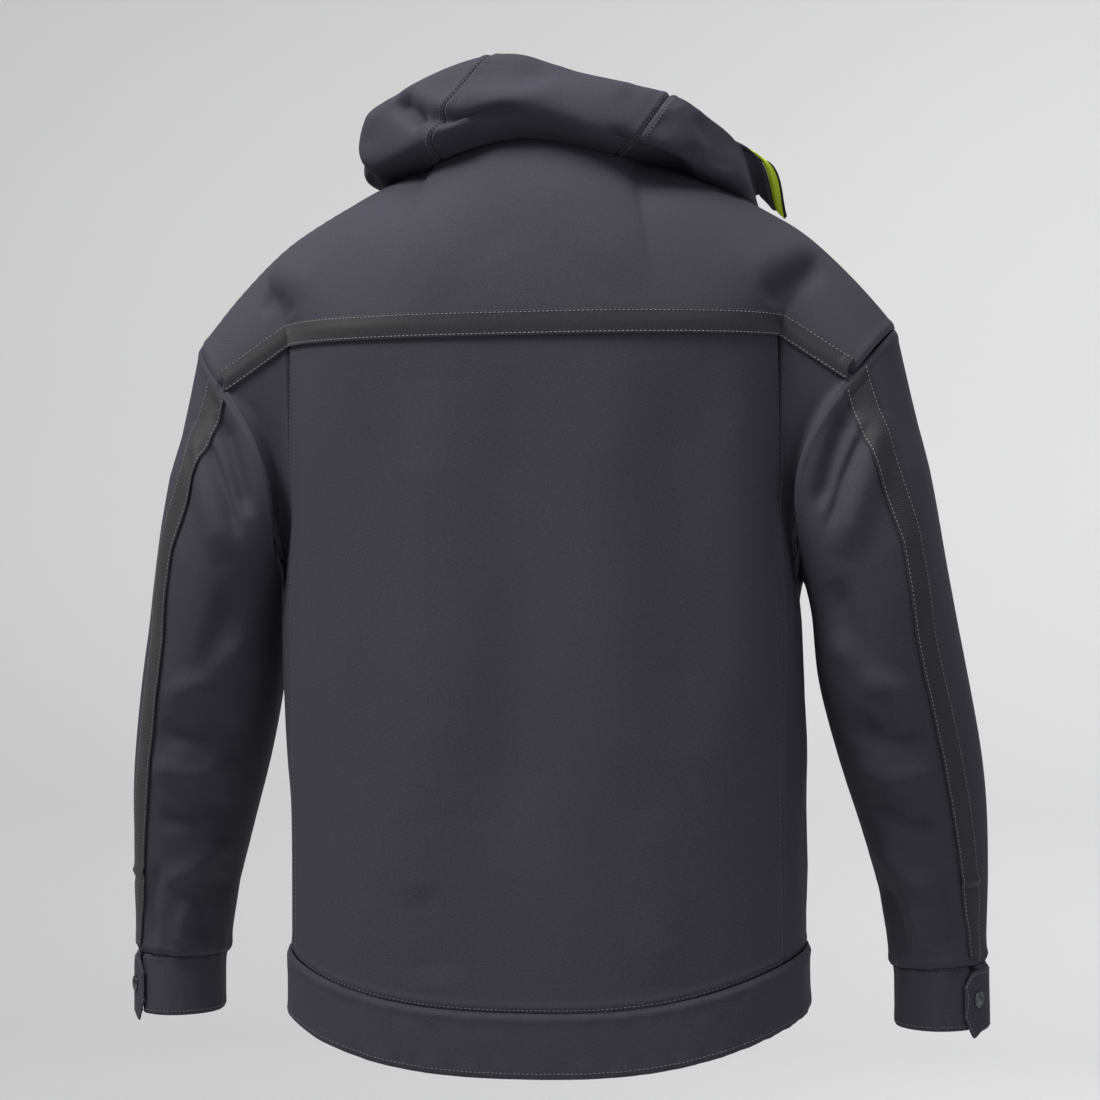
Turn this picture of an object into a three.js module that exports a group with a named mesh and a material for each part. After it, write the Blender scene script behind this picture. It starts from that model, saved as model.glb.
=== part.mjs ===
// A hooded work coat, hanging as on a wearer: shell panels, lining, sleeves, cuffs, hood and zip.
// Millimetres. +X is the wearer's right, +Y out of the front, +Z up.
// The origin is the middle of the neck opening, level with the back neck seam.
import * as THREE from 'three';

// ---- Driving dimensions ----
const BODY = { halfWidth: 205, backDepth: 125, frontDepth: 126, squareness: 2.6 };
const HEM_Z = -672;        // hem at the sides
const TAIL_DROP = 36;      // how much lower the hem is at the centre back
const BAND_HEIGHT = 50;    // height of the hem band
const SEAM_GAP = 1.8;      // clear gap between two sewn panels' edges
const SHELL = 3;           // thickness of the shell cloth
const LINING = 1.6;        // thickness of the lining
const LAYER_GAP = 1.2;     // clear gap between two layers of cloth
const YOKE_Z = -136;       // the back seam under the yoke
const CHEST_Z = -150;      // the front seam under the yoke
const FRONT_LEAN = 30;     // how far the centre front leans back from hem to neck
const NECK = { halfWidth: 78, back: -60, backZ: 14, sideZ: 6, frontZ: -62 };
const TIP = { x: BODY.halfWidth + 75, z: -138 };      // shoulder end of the armhole seam
const ARMHOLE = { x: BODY.halfWidth + 38, z: -234, scoop: 30, halfDepth: 75 };
const TAPE = { width: 22, thickness: 1.4, clear: 1.5 };
const CUFF = { top: -640, bottom: -690, halfWidth: 36, halfDepth: 43, x: BODY.halfWidth + 103, y: 60 };
const TAB = { gap: 2.8, thickness: 2.4, rootAngle: -12, endAngle: 44 };
const SNAP = { capRadius: 6, capHeight: 2.4, studRadius: 4, studHeight: 1.8 };
const ZIP = { tapeWidth: 13, tapeThickness: 1, toothWidth: 2.6, toothDepth: 2.4, split: 5.4 };
const FRONT_EDGE = 10;     // where the cloth of each front stops, beside the zip
const ZIP_BOTTOM = HEM_Z + 8;
const ZIP_TOP = -70;
const SLIDER = { height: 12, plate: 1.2, clear: 0.6 };
const POCKET = { width: 104, height: 150, bottom: HEM_Z + 64, thickness: 3, inset: 26 };
const LOOP = { width: 60, drop: 20, inset: SHELL + 8, thickness: 2.4, strap: 8 };
const BACK_SEAM = 68.5;    // degrees round the body from centre back to the back side seam
const FRONT_SEAM = 138.2;  // and to the front side seam
const BACK_SLEEVE_SEAM = 52;   // degrees round the sleeve from its outer line to the taped seam
const FRONT_SLEEVE_SEAM = -75;

const rad = THREE.MathUtils.degToRad;
const mix = THREE.MathUtils.lerp;
const coat = new THREE.Group();

// ---- Cloth finishes ----
const finish = (color, roughness = 0.9, metalness = 0) =>
  new THREE.MeshStandardMaterial({ color, roughness, metalness });
const shellCloth = finish(0x3b3a41);
const liningCloth = finish(0x2a2b30);
const brightCloth = finish(0xd9f23c, 0.8);
const tapeCloth = finish(0x26282a, 0.85);
const bindingCloth = finish(0x17181a);
const snapMetal = finish(0x55585e, 0.35, 0.9);
const zipPlastic = finish(0x1b1c1f, 0.5);
const zipMetal = finish(0x6a6d72, 0.35, 0.9);

// ---- A sheet of cloth: a box bent over a surface, its outer face lifted off that surface ----
const STEP = 1e-3;
function normalAt(surface, u, v) {
  const [a, b] = [Math.min(u, 1 - STEP), Math.min(v, 1 - STEP)];
  const across = surface(a + STEP, b).sub(surface(a, b));
  const along = surface(a, b + STEP).sub(surface(a, b));
  return across.cross(along).normalize();
}

function bentSheet(surface, columns, rows, thickness, lift = 0) {
  const sheet = new THREE.BoxGeometry(1, 1, 1, columns, rows, 1);
  const at = sheet.attributes.position;
  for (let i = 0; i < at.count; i += 1) {
    const [u, v, depth] = [at.getX(i) + 0.5, at.getY(i) + 0.5, 0.5 - at.getZ(i)];
    const point = surface(u, v).addScaledVector(normalAt(surface, u, v), lift - depth * thickness);
    at.setXYZ(i, point.x, point.y, point.z);
  }
  return sheet;
}

// The same surface on the other side of the coat, still facing out.
const mirrored = (surface) => (u, v) => {
  const point = surface(1 - u, v);
  return point.setX(-point.x);
};

const part = (surface, u0, u1, v0, v1) => (u, v) => surface(mix(u0, u1, u), mix(v0, v1, v));

function addNode(name, geometry, material) {
  const mesh = new THREE.Mesh(geometry, material);
  mesh.name = name;
  coat.add(mesh);
  return mesh;
}

// Every sheet that the coat has twice: the right one as drawn, and its mirror image.
function addPair(name, surface, columns, rows, thickness, material, lift = 0) {
  addNode(`${name}_right`, bentSheet(surface, columns, rows, thickness, lift), material);
  addNode(`${name}_left`, bentSheet(mirrored(surface), columns, rows, thickness, lift), material);
}

// ---- The body: a squared oval, its front leaning back towards the neck ----
const hemAt = (angle) => HEM_Z - TAIL_DROP * Math.max(0, Math.cos(rad(angle))) ** 2;
const bandTopAt = (angle) => hemAt(angle) + BAND_HEIGHT;
const frontDepthAt = (z) => BODY.frontDepth - FRONT_LEAN * (z - HEM_Z) / (ZIP_TOP - HEM_Z);

// Angle 0 is the centre back, 90 the wearer's right side and 180 the centre front.
function bodyPoint(angle, z) {
  const power = 2 / BODY.squareness;
  const [across, back] = [Math.sin(rad(angle)), Math.cos(rad(angle))];
  const depth = back > 0 ? BODY.backDepth : frontDepthAt(z);
  return new THREE.Vector3(
    BODY.halfWidth * Math.sign(across) * Math.abs(across) ** power,
    -depth * Math.sign(back) * Math.abs(back) ** power,
    z,
  );
}

const bodyWall = (from, to, low, high) => (u, v) => {
  const angle = mix(from, to, u);
  return bodyPoint(angle, mix(low(angle), high(angle), v));
};

// ---- The armhole, and the sleeve hanging from it, as evenly spaced rings ----
const rings = [
  { middle: [ARMHOLE.x, 0, ARMHOLE.z], outward: [TIP.x - ARMHOLE.x, TIP.z - ARMHOLE.z], depth: ARMHOLE.halfDepth },
  { middle: [ARMHOLE.x + 16, 2, -306], outward: [46, 56], depth: 79 },
  { middle: [ARMHOLE.x + 29, 10, -392], outward: [54, 24], depth: 73 },
  { middle: [ARMHOLE.x + 46, 31, -480], outward: [54, 9], depth: 63 },
  { middle: [CUFF.x - 6, 50, -564], outward: [45, 3], depth: 53 },
  { middle: [CUFF.x - 1, CUFF.y, CUFF.top], outward: [CUFF.halfWidth + 2, 2], depth: CUFF.halfDepth + 2 },
];
const ringMiddle = new THREE.CatmullRomCurve3(rings.map((ring) => new THREE.Vector3(...ring.middle)));
const ringSize = new THREE.CatmullRomCurve3(rings.map((ring) => new THREE.Vector3(...ring.outward, ring.depth)));

// Angle 0 is the sleeve's outer line, 90 its back and 180 the side against the body.
function sleevePoint(angle, s) {
  const size = ringSize.getPoint(s);
  const [out, back] = [Math.cos(rad(angle)), Math.sin(rad(angle))];
  const scoop = ARMHOLE.scoop * Math.max(0, 1 - 4 * s) * Math.abs(back) ** 3;
  return ringMiddle.getPoint(s).add(new THREE.Vector3(size.x * out - scoop, -size.z * back, size.y * out));
}

// The back seam wanders round the sleeve; the front one keeps to one line.
const backSeamAt = (s) => BACK_SLEEVE_SEAM + 8 * Math.sin(Math.PI * s) - 12 * s;
const sleeveWall = (fromAngle, toAngle, fromS, toS) => (u, v) => {
  const s = mix(fromS, toS, v);
  return sleevePoint(mix(fromAngle(s), toAngle(s), u), s);
};

// ---- The yoke over the shoulders: each line of cloth is a curve from the seam up to the top ----
const ridge = new THREE.CatmullRomCurve3([
  [NECK.halfWidth, NECK.sideZ], [TIP.x - 146, -18], [TIP.x - 96, -44],
  [TIP.x - 64, -66], [TIP.x - 30, -100], [TIP.x - 1, TIP.z + 2],
].map(([x, z]) => new THREE.Vector3(x, 0, z)));
const RIDGE_GAP = 2.4;      // how far each yoke's edge keeps from the shoulder line
const NECK_SHARE = 0.3;    // share of the yoke's top edge that is neckline; the rest is the ridge
const PANEL_SHARE = 0.76;  // share of its lower edge that runs along the body panel

function bezier(a, b, c, v) {
  return a.clone().multiplyScalar((1 - v) ** 2).addScaledVector(b, 2 * v * (1 - v)).addScaledVector(c, v * v);
}

function yokePoint(u, v, isBack) {
  const seamZ = isBack ? YOKE_Z : CHEST_Z;
  const corner = isBack ? BACK_SEAM : FRONT_SEAM;
  const centre = isBack ? 0 : 180;
  const seam = u < PANEL_SHARE
    ? bodyPoint(mix(centre, corner, u / PANEL_SHARE), seamZ)
    : bodyPoint(corner, seamZ).lerp(
      sleevePoint(isBack ? BACK_SLEEVE_SEAM : -BACK_SLEEVE_SEAM, 0),
      (u - PANEL_SHARE) / (1 - PANEL_SHARE),
    );
  const turn = (Math.PI / 2) * Math.min(1, u / NECK_SHARE);
  const neckY = isBack ? NECK.back : frontDepthAt(NECK.frontZ);
  const neckZ = isBack ? NECK.backZ : NECK.frontZ;
  const top = u < NECK_SHARE
    ? new THREE.Vector3(NECK.halfWidth * Math.sin(turn), neckY * Math.cos(turn), mix(NECK.sideZ, neckZ, Math.cos(turn) ** 2))
    : ridge.getPoint((u - NECK_SHARE) / (1 - NECK_SHARE));
  const side = isBack ? -1 : 1;
  top.y += side * RIDGE_GAP * Math.min(1, u / NECK_SHARE);
  const bulge = new THREE.Vector3(mix(seam.x, top.x, 0.9), mix(seam.y, top.y, 0.2), mix(seam.z, top.z, 0.9));
  if (!isBack) bulge.set(mix(seam.x, top.x, 0.6), mix(seam.y, top.y, 0.35), mix(seam.z, top.z, 0.75));
  return bezier(seam, bulge, top, v);
}

// ---- Body panels ----
const seamAngle = 0.35;    // degrees kept clear at each edge of a panel
const lowEdge = (angle) => bandTopAt(angle) + SEAM_GAP;
addNode('back_panel', bentSheet(
  bodyWall(-BACK_SEAM + seamAngle, BACK_SEAM - seamAngle, lowEdge, () => YOKE_Z - SEAM_GAP), 14, 5, SHELL,
), shellCloth);

const backYoke = (u, v) => yokePoint(u, v, true);
const yokeStart = 0.025;   // share of the yoke's width left clear beside the zip
const yokeEdge = 0.993;    // the yoke stops just short of the armhole seam
addNode('back_yoke', bentSheet((u, v) => {
  const point = backYoke(Math.abs(2 * u - 1) * yokeEdge, v);
  return point.setX(Math.sign(u - 0.5) * point.x);
}, 24, 5, SHELL), shellCloth);

const zipEdge = FRONT_EDGE / BODY.halfWidth;
const frontYoke = (from, to) => (u, v) => yokePoint(mix(from, to, u), v, false);
addPair('front_yoke', frontYoke(yokeEdge, NECK_SHARE + 0.01), 10, 5, SHELL, shellCloth);
addPair('neck_front', frontYoke(NECK_SHARE, yokeStart), 5, 5, SHELL, shellCloth);

const frontEdge = 180 - Math.asin(zipEdge ** (BODY.squareness / 2)) * 180 / Math.PI;
addPair('front_panel', bodyWall(
  FRONT_SEAM + seamAngle, frontEdge, lowEdge, () => CHEST_Z - SEAM_GAP,
), 7, 5, SHELL, shellCloth);

// The side panel's top edge runs from the yoke's corner down round the armhole and up to the front.
const sideAngle = 3 * seamAngle;
const CORNER_SHARE = 0.16;
const SIDE_TUCK = 3.4 + 2 * SHELL;      // how far the side panel draws in from the armhole line
function sideTop(u) {
  const backCorner = bodyPoint(BACK_SEAM + sideAngle, YOKE_Z);
  const frontCorner = bodyPoint(FRONT_SEAM - sideAngle, CHEST_Z);
  const turn = (u - CORNER_SHARE) / (1 - 2 * CORNER_SHARE);
  if (turn < 0) return backCorner.lerp(sleevePoint(BACK_SLEEVE_SEAM, 0), u / CORNER_SHARE);
  if (turn > 1) return frontCorner.lerp(sleevePoint(-BACK_SLEEVE_SEAM, 0), (1 - u) / CORNER_SHARE);
  return sleevePoint(mix(BACK_SLEEVE_SEAM, 360 - BACK_SLEEVE_SEAM, turn), 0);
}

function sidePoint(u, v) {
  const angle = mix(BACK_SEAM + sideAngle, FRONT_SEAM - sideAngle, u);
  const top = sideTop(u).add(new THREE.Vector3(-1, 0, -0.6).multiplyScalar(SIDE_TUCK * Math.sin(Math.PI * u) ** 2));
  top.z -= 1.5 * SEAM_GAP;
  const rise = 1 - (1 - v) ** 1.7;
  const z = mix(lowEdge(angle), top.z, rise);
  const reach = top.sub(bodyPoint(angle, top.z));
  return bodyPoint(angle, z).add(new THREE.Vector3(reach.x * rise ** 14, reach.y * rise ** 2.4, 0));
}
addPair('side_panel', sidePoint, 14, 8, SHELL, shellCloth);

// ---- Hem band ----
const bandLow = (angle) => hemAt(angle);
addNode('hem_band_back', bentSheet(
  bodyWall(-FRONT_SEAM + seamAngle, FRONT_SEAM - seamAngle, bandLow, bandTopAt), 22, 1, SHELL + 0.8, 1.2,
), shellCloth);
addPair('hem_band_front',
  bodyWall(FRONT_SEAM + sideAngle, frontEdge, bandLow, bandTopAt), 6, 1, SHELL + 0.8, shellCloth, 1.2,
);

// ---- Lining ----
const liningLift = -(SHELL + LAYER_GAP);
const liningTop = -440;
addNode('lining_body', bentSheet(
  bodyWall(-FRONT_SEAM + 3, FRONT_SEAM - 3, (angle) => hemAt(angle) + 6, () => liningTop), 18, 3, LINING, liningLift - 3,
), liningCloth);
addNode('lining_back', bentSheet(
  bodyWall(-BACK_SEAM + 14, BACK_SEAM - 14, () => liningTop + 2, () => YOKE_Z), 8, 3, LINING, liningLift - 3,
), brightCloth);
addPair('front_facing',
  bodyWall(FRONT_SEAM + 3, frontEdge, (angle) => hemAt(angle) + 6, () => CHEST_Z - 8), 5, 4, LINING,
  liningCloth, liningLift - 3,
);

// ---- Sleeves ----
const SLEEVE_TOP = 0.0225;
const SLEEVE_END = 0.992;
const seamTurn = 0.8;      // degrees kept clear at each sleeve seam
addPair('sleeve_outer', sleeveWall(
  (at) => backSeamAt(at) - seamTurn, () => FRONT_SLEEVE_SEAM + seamTurn, SLEEVE_END, SLEEVE_TOP,
), 8, 12, SHELL, shellCloth);
addPair('sleeve_under', sleeveWall(
  () => FRONT_SLEEVE_SEAM + 360 - seamTurn, (at) => backSeamAt(at) + seamTurn, SLEEVE_END, SLEEVE_TOP,
), 13, 12, SHELL, shellCloth);
addPair('sleeve_lining', sleeveWall(
  (at) => backSeamAt(at) + 354, (at) => backSeamAt(at), SLEEVE_END, 0.1,
), 20, 10, LINING, liningCloth, liningLift - 1);

// ---- Tape over the back yoke seam, and down each sleeve's back seam ----
const tapeHalf = TAPE.width / 2;
const tapeLift = TAPE.thickness + TAPE.clear;
addNode('back_tape', bentSheet((u, v) => {
  const side = 2 * u - 1;
  const [along, rise] = [Math.abs(side) * 0.95, (2 * v - 1) * tapeHalf];
  const seam = backYoke(along, 0);
  const slope = backYoke(along, 0.05).sub(seam).normalize();
  if (rise < 0) slope.set(-0.12 * along ** 8, 0, 1);
  seam.addScaledVector(slope, rise);
  return seam.setX(side < 0 ? -seam.x : seam.x);
}, 24, 2, TAPE.thickness, tapeLift), tapeCloth);

addPair('sleeve_tape', (u, v) => {
  const s = mix(0.985, 0.03, v);
  const reach = tapeHalf * 57.3 / mix(78, 42, s);
  return sleevePoint(backSeamAt(s) + mix(reach, -reach, u), s);
}, 2, 12, TAPE.thickness, tapeCloth, tapeLift);

// ---- Cuffs, their overlapping tabs and snaps ----
const cuffPoint = (angle, z) => new THREE.Vector3(
  CUFF.x + CUFF.halfWidth * Math.cos(rad(angle)),
  CUFF.y - CUFF.halfDepth * Math.sin(rad(angle)),
  z,
);
const cuffTop = CUFF.top - SEAM_GAP;
const slit = 4;            // degrees of opening in the cuff, under the tab
addPair('cuff',
  (u, v) => cuffPoint(mix(TAB.endAngle - 12 - slit, TAB.endAngle - 12 - 360 + slit, u), mix(CUFF.bottom, cuffTop, v)),
  20, 1, SHELL, shellCloth,
);

const tabSink = 2;         // the tab hangs this much lower than the cuff
const tabPoint = (u, v) => {
  const angle = mix(TAB.endAngle, TAB.rootAngle, u);
  const clip = Math.max(0, 1 - u / 0.25) * 12;
  return cuffPoint(angle, mix(CUFF.bottom - tabSink + clip * 0.6, cuffTop - clip * 0.4, v));
};
addPair('cuff_tab', tabPoint, 6, 1, TAB.thickness, shellCloth, TAB.gap + TAB.thickness);

const snapAngle = mix(TAB.rootAngle, TAB.endAngle, 0.66);
function addSnap(name, radius, height, lift, material, side) {
  const disc = new THREE.CylinderGeometry(radius * 0.86, radius, height, 20);
  const mesh = addNode(name, disc, material);
  const out = new THREE.Vector3(
    side * Math.cos(rad(snapAngle)) / CUFF.halfWidth, -Math.sin(rad(snapAngle)) / CUFF.halfDepth, 0,
  ).normalize();
  const seat = cuffPoint(snapAngle, (CUFF.bottom + CUFF.top) / 2);
  seat.x *= side;
  mesh.position.copy(seat).addScaledVector(out, lift + height / 2);
  mesh.quaternion.setFromUnitVectors(new THREE.Vector3(0, 1, 0), out);
}
for (const [name, side] of [['right', 1], ['left', -1]]) {
  addSnap(`snap_stud_${name}`, SNAP.studRadius, SNAP.studHeight, 0.5, snapMetal, side);
  addSnap(`snap_cap_${name}`, SNAP.capRadius, SNAP.capHeight, TAB.gap + TAB.thickness + 0.5, snapMetal, side);
}

// ---- Neck band ----
const BAND_RISE = 24;
const NECK_FIT = 0.94;     // the neck band stands just inside the yoke's neckline
const neckPoint = (angle, rise) => {
  const back = Math.cos(rad(angle));
  const [x, y] = [NECK.halfWidth * Math.sin(rad(angle)), back > 0 ? NECK.back : frontDepthAt(NECK.frontZ)];
  const foot = mix(NECK.sideZ, back > 0 ? NECK.backZ : NECK.frontZ, back * back);
  return new THREE.Vector3(x * NECK_FIT, -Math.abs(y) * back * NECK_FIT, foot + rise);
};
const neckSplit = 92;     // degrees from centre back to where the front neck bands start
addNode('neck_band',
  bentSheet((u, v) => neckPoint(mix(-neckSplit, neckSplit, u), mix(2, BAND_RISE, v)), 18, 1, SHELL, 0),
  shellCloth,
);
addPair('neck_band_front',
  (u, v) => neckPoint(mix(neckSplit + 1, 174, u), mix(2, BAND_RISE, v)), 6, 1, SHELL, shellCloth,
);

// ---- Hood, pushed off the head and slumped round the neck ----
// Each row runs from the wearer's left cheek, round the back, to the right cheek.
const hoodRows = [
  [[-72, 46, 0], [-82, 0, 11], [-60, -48, 18], [0, -66, 20], [60, -48, 18], [82, 0, 11], [74, 46, 0]],             // neck seam
  [[-126, 60, -10], [-146, -6, 12], [-104, -78, 28], [-8, -106, 40], [98, -88, 26], [164, -12, -4], [166, 58, -28]],  // outward bulge
  [[-118, 58, 30], [-136, 0, 48], [-96, -66, 76], [-24, -82, 92], [84, -72, 70], [160, -4, 34], [164, 62, -8]],    // top fold
  [[-88, 52, 42], [-96, 4, 58], [-66, -30, 78], [-10, -36, 88], [62, -30, 70], [118, 4, 42], [128, 62, 8]],        // sunk crown
  [[-66, 66, 34], [-70, 26, 50], [-46, 2, 62], [-4, -4, 66], [44, 4, 58], [88, 26, 42], [104, 72, 12]],            // face opening
];
const hoodCurves = hoodRows.map((row) => new THREE.CatmullRomCurve3(row.map((p) => new THREE.Vector3(...p))));
const hoodPoint = (u, v) => new THREE.CatmullRomCurve3(hoodCurves.map((curve) => curve.getPoint(u))).getPoint(v);
const hoodSeams = [0.33, 0.67];
addNode('hood_left', bentSheet(part(hoodPoint, 0, hoodSeams[0] - 0.006, 0, 0.935), 6, 9, SHELL), shellCloth);
addNode('hood_centre',
  bentSheet(part(hoodPoint, hoodSeams[0], hoodSeams[1], 0, 0.935), 6, 9, SHELL), shellCloth,
);
addNode('hood_right', bentSheet(part(hoodPoint, hoodSeams[1] + 0.006, 1, 0, 0.935), 6, 9, SHELL), shellCloth);
addNode('hood_trim', bentSheet(part(hoodPoint, 0.01, 0.99, 0.945, 0.985), 16, 1, SHELL), brightCloth);
addNode('hood_binding', bentSheet(part(hoodPoint, 0.01, 0.99, 0.99, 1), 16, 1, SHELL), bindingCloth);

// ---- Hanging loop inside the back of the neck ----
const loopY = NECK.back * NECK_FIT + LOOP.inset;
const loopArc = new THREE.CatmullRomCurve3([
  [-0.5, 0], [-0.38, -0.67], [0, -1], [0.38, -0.67], [0.5, 0],
].map(([x, z]) => new THREE.Vector3(LOOP.width * x, loopY, NECK.backZ + 6 + LOOP.drop * z)));
const strap = new THREE.Shape([
  [-LOOP.thickness / 2, -LOOP.strap / 2], [LOOP.thickness / 2, -LOOP.strap / 2],
  [LOOP.thickness / 2, LOOP.strap / 2], [-LOOP.thickness / 2, LOOP.strap / 2],
].map(([x, y]) => new THREE.Vector2(x, y)));
addNode('hanging_loop', new THREE.ExtrudeGeometry(strap, { steps: 12, extrudePath: loopArc }), tapeCloth);

// ---- Zip: two tapes with their teeth, leaning with the centre front ----
const zipWall = (from, to, low, high) => (u, v) => {
  const z = mix(low, high, v);
  return new THREE.Vector3(mix(from, to, u), frontDepthAt(z), z);
};
const toothInner = ZIP.split / 2;
const toothOuter = toothInner + ZIP.toothWidth;
const zipDepth = -SHELL / 2;
// Each tape runs from between the teeth to behind the front's cloth.
const tapeFold = [[FRONT_EDGE + 6, -5.6], [FRONT_EDGE - 0.2, -5.2], [FRONT_EDGE - 1.8, -1], [toothOuter + 0.4, -1]];
addPair('zip_tape', (u, v) => {
  const strip = Math.min(2, Math.floor(u * 3 + STEP / 2));
  const [from, to] = [tapeFold[strip], tapeFold[strip + 1]];
  const z = mix(ZIP_BOTTOM, ZIP_TOP, v);
  return new THREE.Vector3(mix(from[0], to[0], u * 3 - strip), frontDepthAt(z) + mix(from[1], to[1], u * 3 - strip), z);
}, 3, 1, ZIP.tapeThickness, zipPlastic);
const toothWall = zipWall(toothOuter, toothInner, ZIP_BOTTOM + 12, ZIP_TOP - 6);
const stopWall = zipWall(toothOuter, toothInner, ZIP_TOP - 5.5, ZIP_TOP);
const toothLift = zipDepth + ZIP.toothDepth / 2;
addPair('zip_teeth', toothWall, 1, 1, ZIP.toothDepth, zipPlastic, toothLift);
addPair('zip_top_stop', stopWall, 1, 1, ZIP.toothDepth + 0.6, zipMetal, toothLift + 0.3);
const pinWall = zipWall(toothOuter, toothInner, ZIP_BOTTOM, ZIP_BOTTOM + 11.5);
const boxWall = zipWall(-toothInner, -toothOuter, ZIP_BOTTOM, ZIP_BOTTOM + 11.5);
addNode('zip_pin', bentSheet(pinWall, 1, 1, 2), zipMetal);
addNode('zip_box', bentSheet(boxWall, 1, 1, 2.6), zipMetal);

// The slider is two plates round the left teeth, joined by a post at the centre front.
const sliderFoot = ZIP_BOTTOM + 12.5;
const sliderLean = Math.atan2(FRONT_LEAN, ZIP_TOP - HEM_Z);
const slot = ZIP.toothDepth / 2 + SLIDER.clear;
const [sliderLeft, sliderRight] = [-toothOuter - 0.9, toothInner - 1.1];
const sliderShape = new THREE.Shape([
  [sliderLeft, -SLIDER.plate - slot], [sliderRight, -SLIDER.plate - slot],
  [sliderRight, SLIDER.plate + slot], [sliderLeft, SLIDER.plate + slot],
  [sliderLeft, slot], [-toothInner + SLIDER.clear, slot],
  [-toothInner + SLIDER.clear, -slot], [sliderLeft, -slot],
].map(([x, y]) => new THREE.Vector2(x, y)));
const slider = addNode('zip_slider', new THREE.ExtrudeGeometry(sliderShape, { depth: SLIDER.height, bevelEnabled: false }), zipMetal);
slider.position.set(0, frontDepthAt(sliderFoot) + zipDepth, sliderFoot);
slider.rotation.x = sliderLean;

const pullShape = new THREE.Shape().absellipse(0, 0, 3.6, 13, 0, Math.PI * 2);
pullShape.holes.push(new THREE.Path().absellipse(0, 10.4, 1.1, 1.1, 0, Math.PI * 2, true));
const pull = addNode('zip_pull', new THREE.ExtrudeGeometry(pullShape, { depth: 1.4, bevelEnabled: false, curveSegments: 8 }), zipMetal);
const pullX = (sliderLeft + sliderRight) / 2;
pull.position.set(pullX, frontDepthAt(sliderFoot) + SLIDER.plate + SLIDER.clear + ZIP.toothDepth / 2 + 2.2, sliderFoot - 4);
pull.rotation.x = Math.PI / 2 + sliderLean;

// ---- Patch pockets on the fronts, with a bright edge along the opening ----
const pocketAngles = [FRONT_SEAM + 3, 168];
const pocketTop = POCKET.bottom + POCKET.height;
const pocketWall = (low, high) => (u, v) => {
  const angle = mix(pocketAngles[0], pocketAngles[1], u);
  const slant = POCKET.inset * (1 - u);
  return bodyPoint(angle, mix(low(slant), high(slant), v));
};
addPair('pocket',
  pocketWall(() => POCKET.bottom, (slant) => pocketTop - slant), 5, 3, POCKET.thickness, shellCloth,
  POCKET.thickness + LAYER_GAP / 2,
);
addPair('pocket_trim',
  pocketWall((slant) => pocketTop - slant + 0.5, (slant) => pocketTop - slant + 9), 5, 1, 1.6, brightCloth,
  1.6 + LAYER_GAP / 2,
);

export default coat;
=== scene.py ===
"""A hooded work coat that hangs filled out, as on a wearer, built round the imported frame.

Shapes are worked out in millimetres on the frame's own axes: +X is the wearer's right, +Y the
coat's front, +Z up, and the middle of the neck opening is the origin.
"""
import math

import bpy
import numpy as np
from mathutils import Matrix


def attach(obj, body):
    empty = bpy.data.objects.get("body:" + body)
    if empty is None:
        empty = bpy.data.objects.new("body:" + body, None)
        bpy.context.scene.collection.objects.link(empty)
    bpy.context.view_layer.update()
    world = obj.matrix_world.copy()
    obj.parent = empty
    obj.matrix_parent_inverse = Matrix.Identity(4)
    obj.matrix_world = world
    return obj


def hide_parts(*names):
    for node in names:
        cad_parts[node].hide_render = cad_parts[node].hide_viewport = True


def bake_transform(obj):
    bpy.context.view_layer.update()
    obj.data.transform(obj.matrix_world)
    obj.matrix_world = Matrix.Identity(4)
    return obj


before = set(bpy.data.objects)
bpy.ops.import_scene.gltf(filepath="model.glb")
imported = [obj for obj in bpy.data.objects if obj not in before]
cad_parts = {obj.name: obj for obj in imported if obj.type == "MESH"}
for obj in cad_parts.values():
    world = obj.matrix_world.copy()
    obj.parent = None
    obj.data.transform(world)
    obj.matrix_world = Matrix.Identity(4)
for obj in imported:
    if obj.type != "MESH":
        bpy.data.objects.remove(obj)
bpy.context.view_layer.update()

MM = 0.001

# ---- Sizes of the coat, in millimetres ----
BODY_HALF_WIDTH = 205
BODY_BACK = 125
BODY_FRONT = 126
BODY_POWER = 2 / 2.6
HEM_Z = -672
TAIL_DROP = 36
BAND_HEIGHT = 50
YOKE_Z = -136
CHEST_Z = -150
FRONT_LEAN = 30
ZIP_BOTTOM = -664
ZIP_TOP = -70
FRONT_EDGE = 9
BACK_SEAM = 68.5
FRONT_SEAM = 138.2
NECK_HALF_WIDTH = 78
NECK_SHARE = 0.3
PANEL_SHARE = 0.76
NECK_BACK = 60
NECK_BACK_Z = 14
NECK_SIDE_Z = 6
NECK_FRONT_Z = -62
TAPE_WIDTH = 19
CUFF_TOP = -640
CUFF_BOTTOM = -690
CUFF_MIDDLE = (308, 60)
CUFF_HALF_WIDTH = 36
CUFF_HALF_DEPTH = 43
SLEEVE_BACK_SEAM = 52
SLEEVE_FRONT_SEAM = -75
POCKET_FOOT = -608
POCKET_MOUTH = -458
POCKET_SLANT = 26
STITCH_PITCH = 3.4

# ---- Thickness of each kind of cloth and tape, in millimetres ----
SHELL_THICK = 1.8
BAND_THICK = 2.6
CUFF_THICK = 2.2
POCKET_THICK = 2.2
TAB_THICK = 2.0
HOOD_THICK = 2.0
LINING_THICK = 1.4
TRIM_THICK = 1.6
BINDING_THICK = 2.2
TAPE_THICK = 0.9
LOOP_THICK = 1.8
LINING_GAP = 6.4
SLEEVE_LINING_GAP = 11


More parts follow.
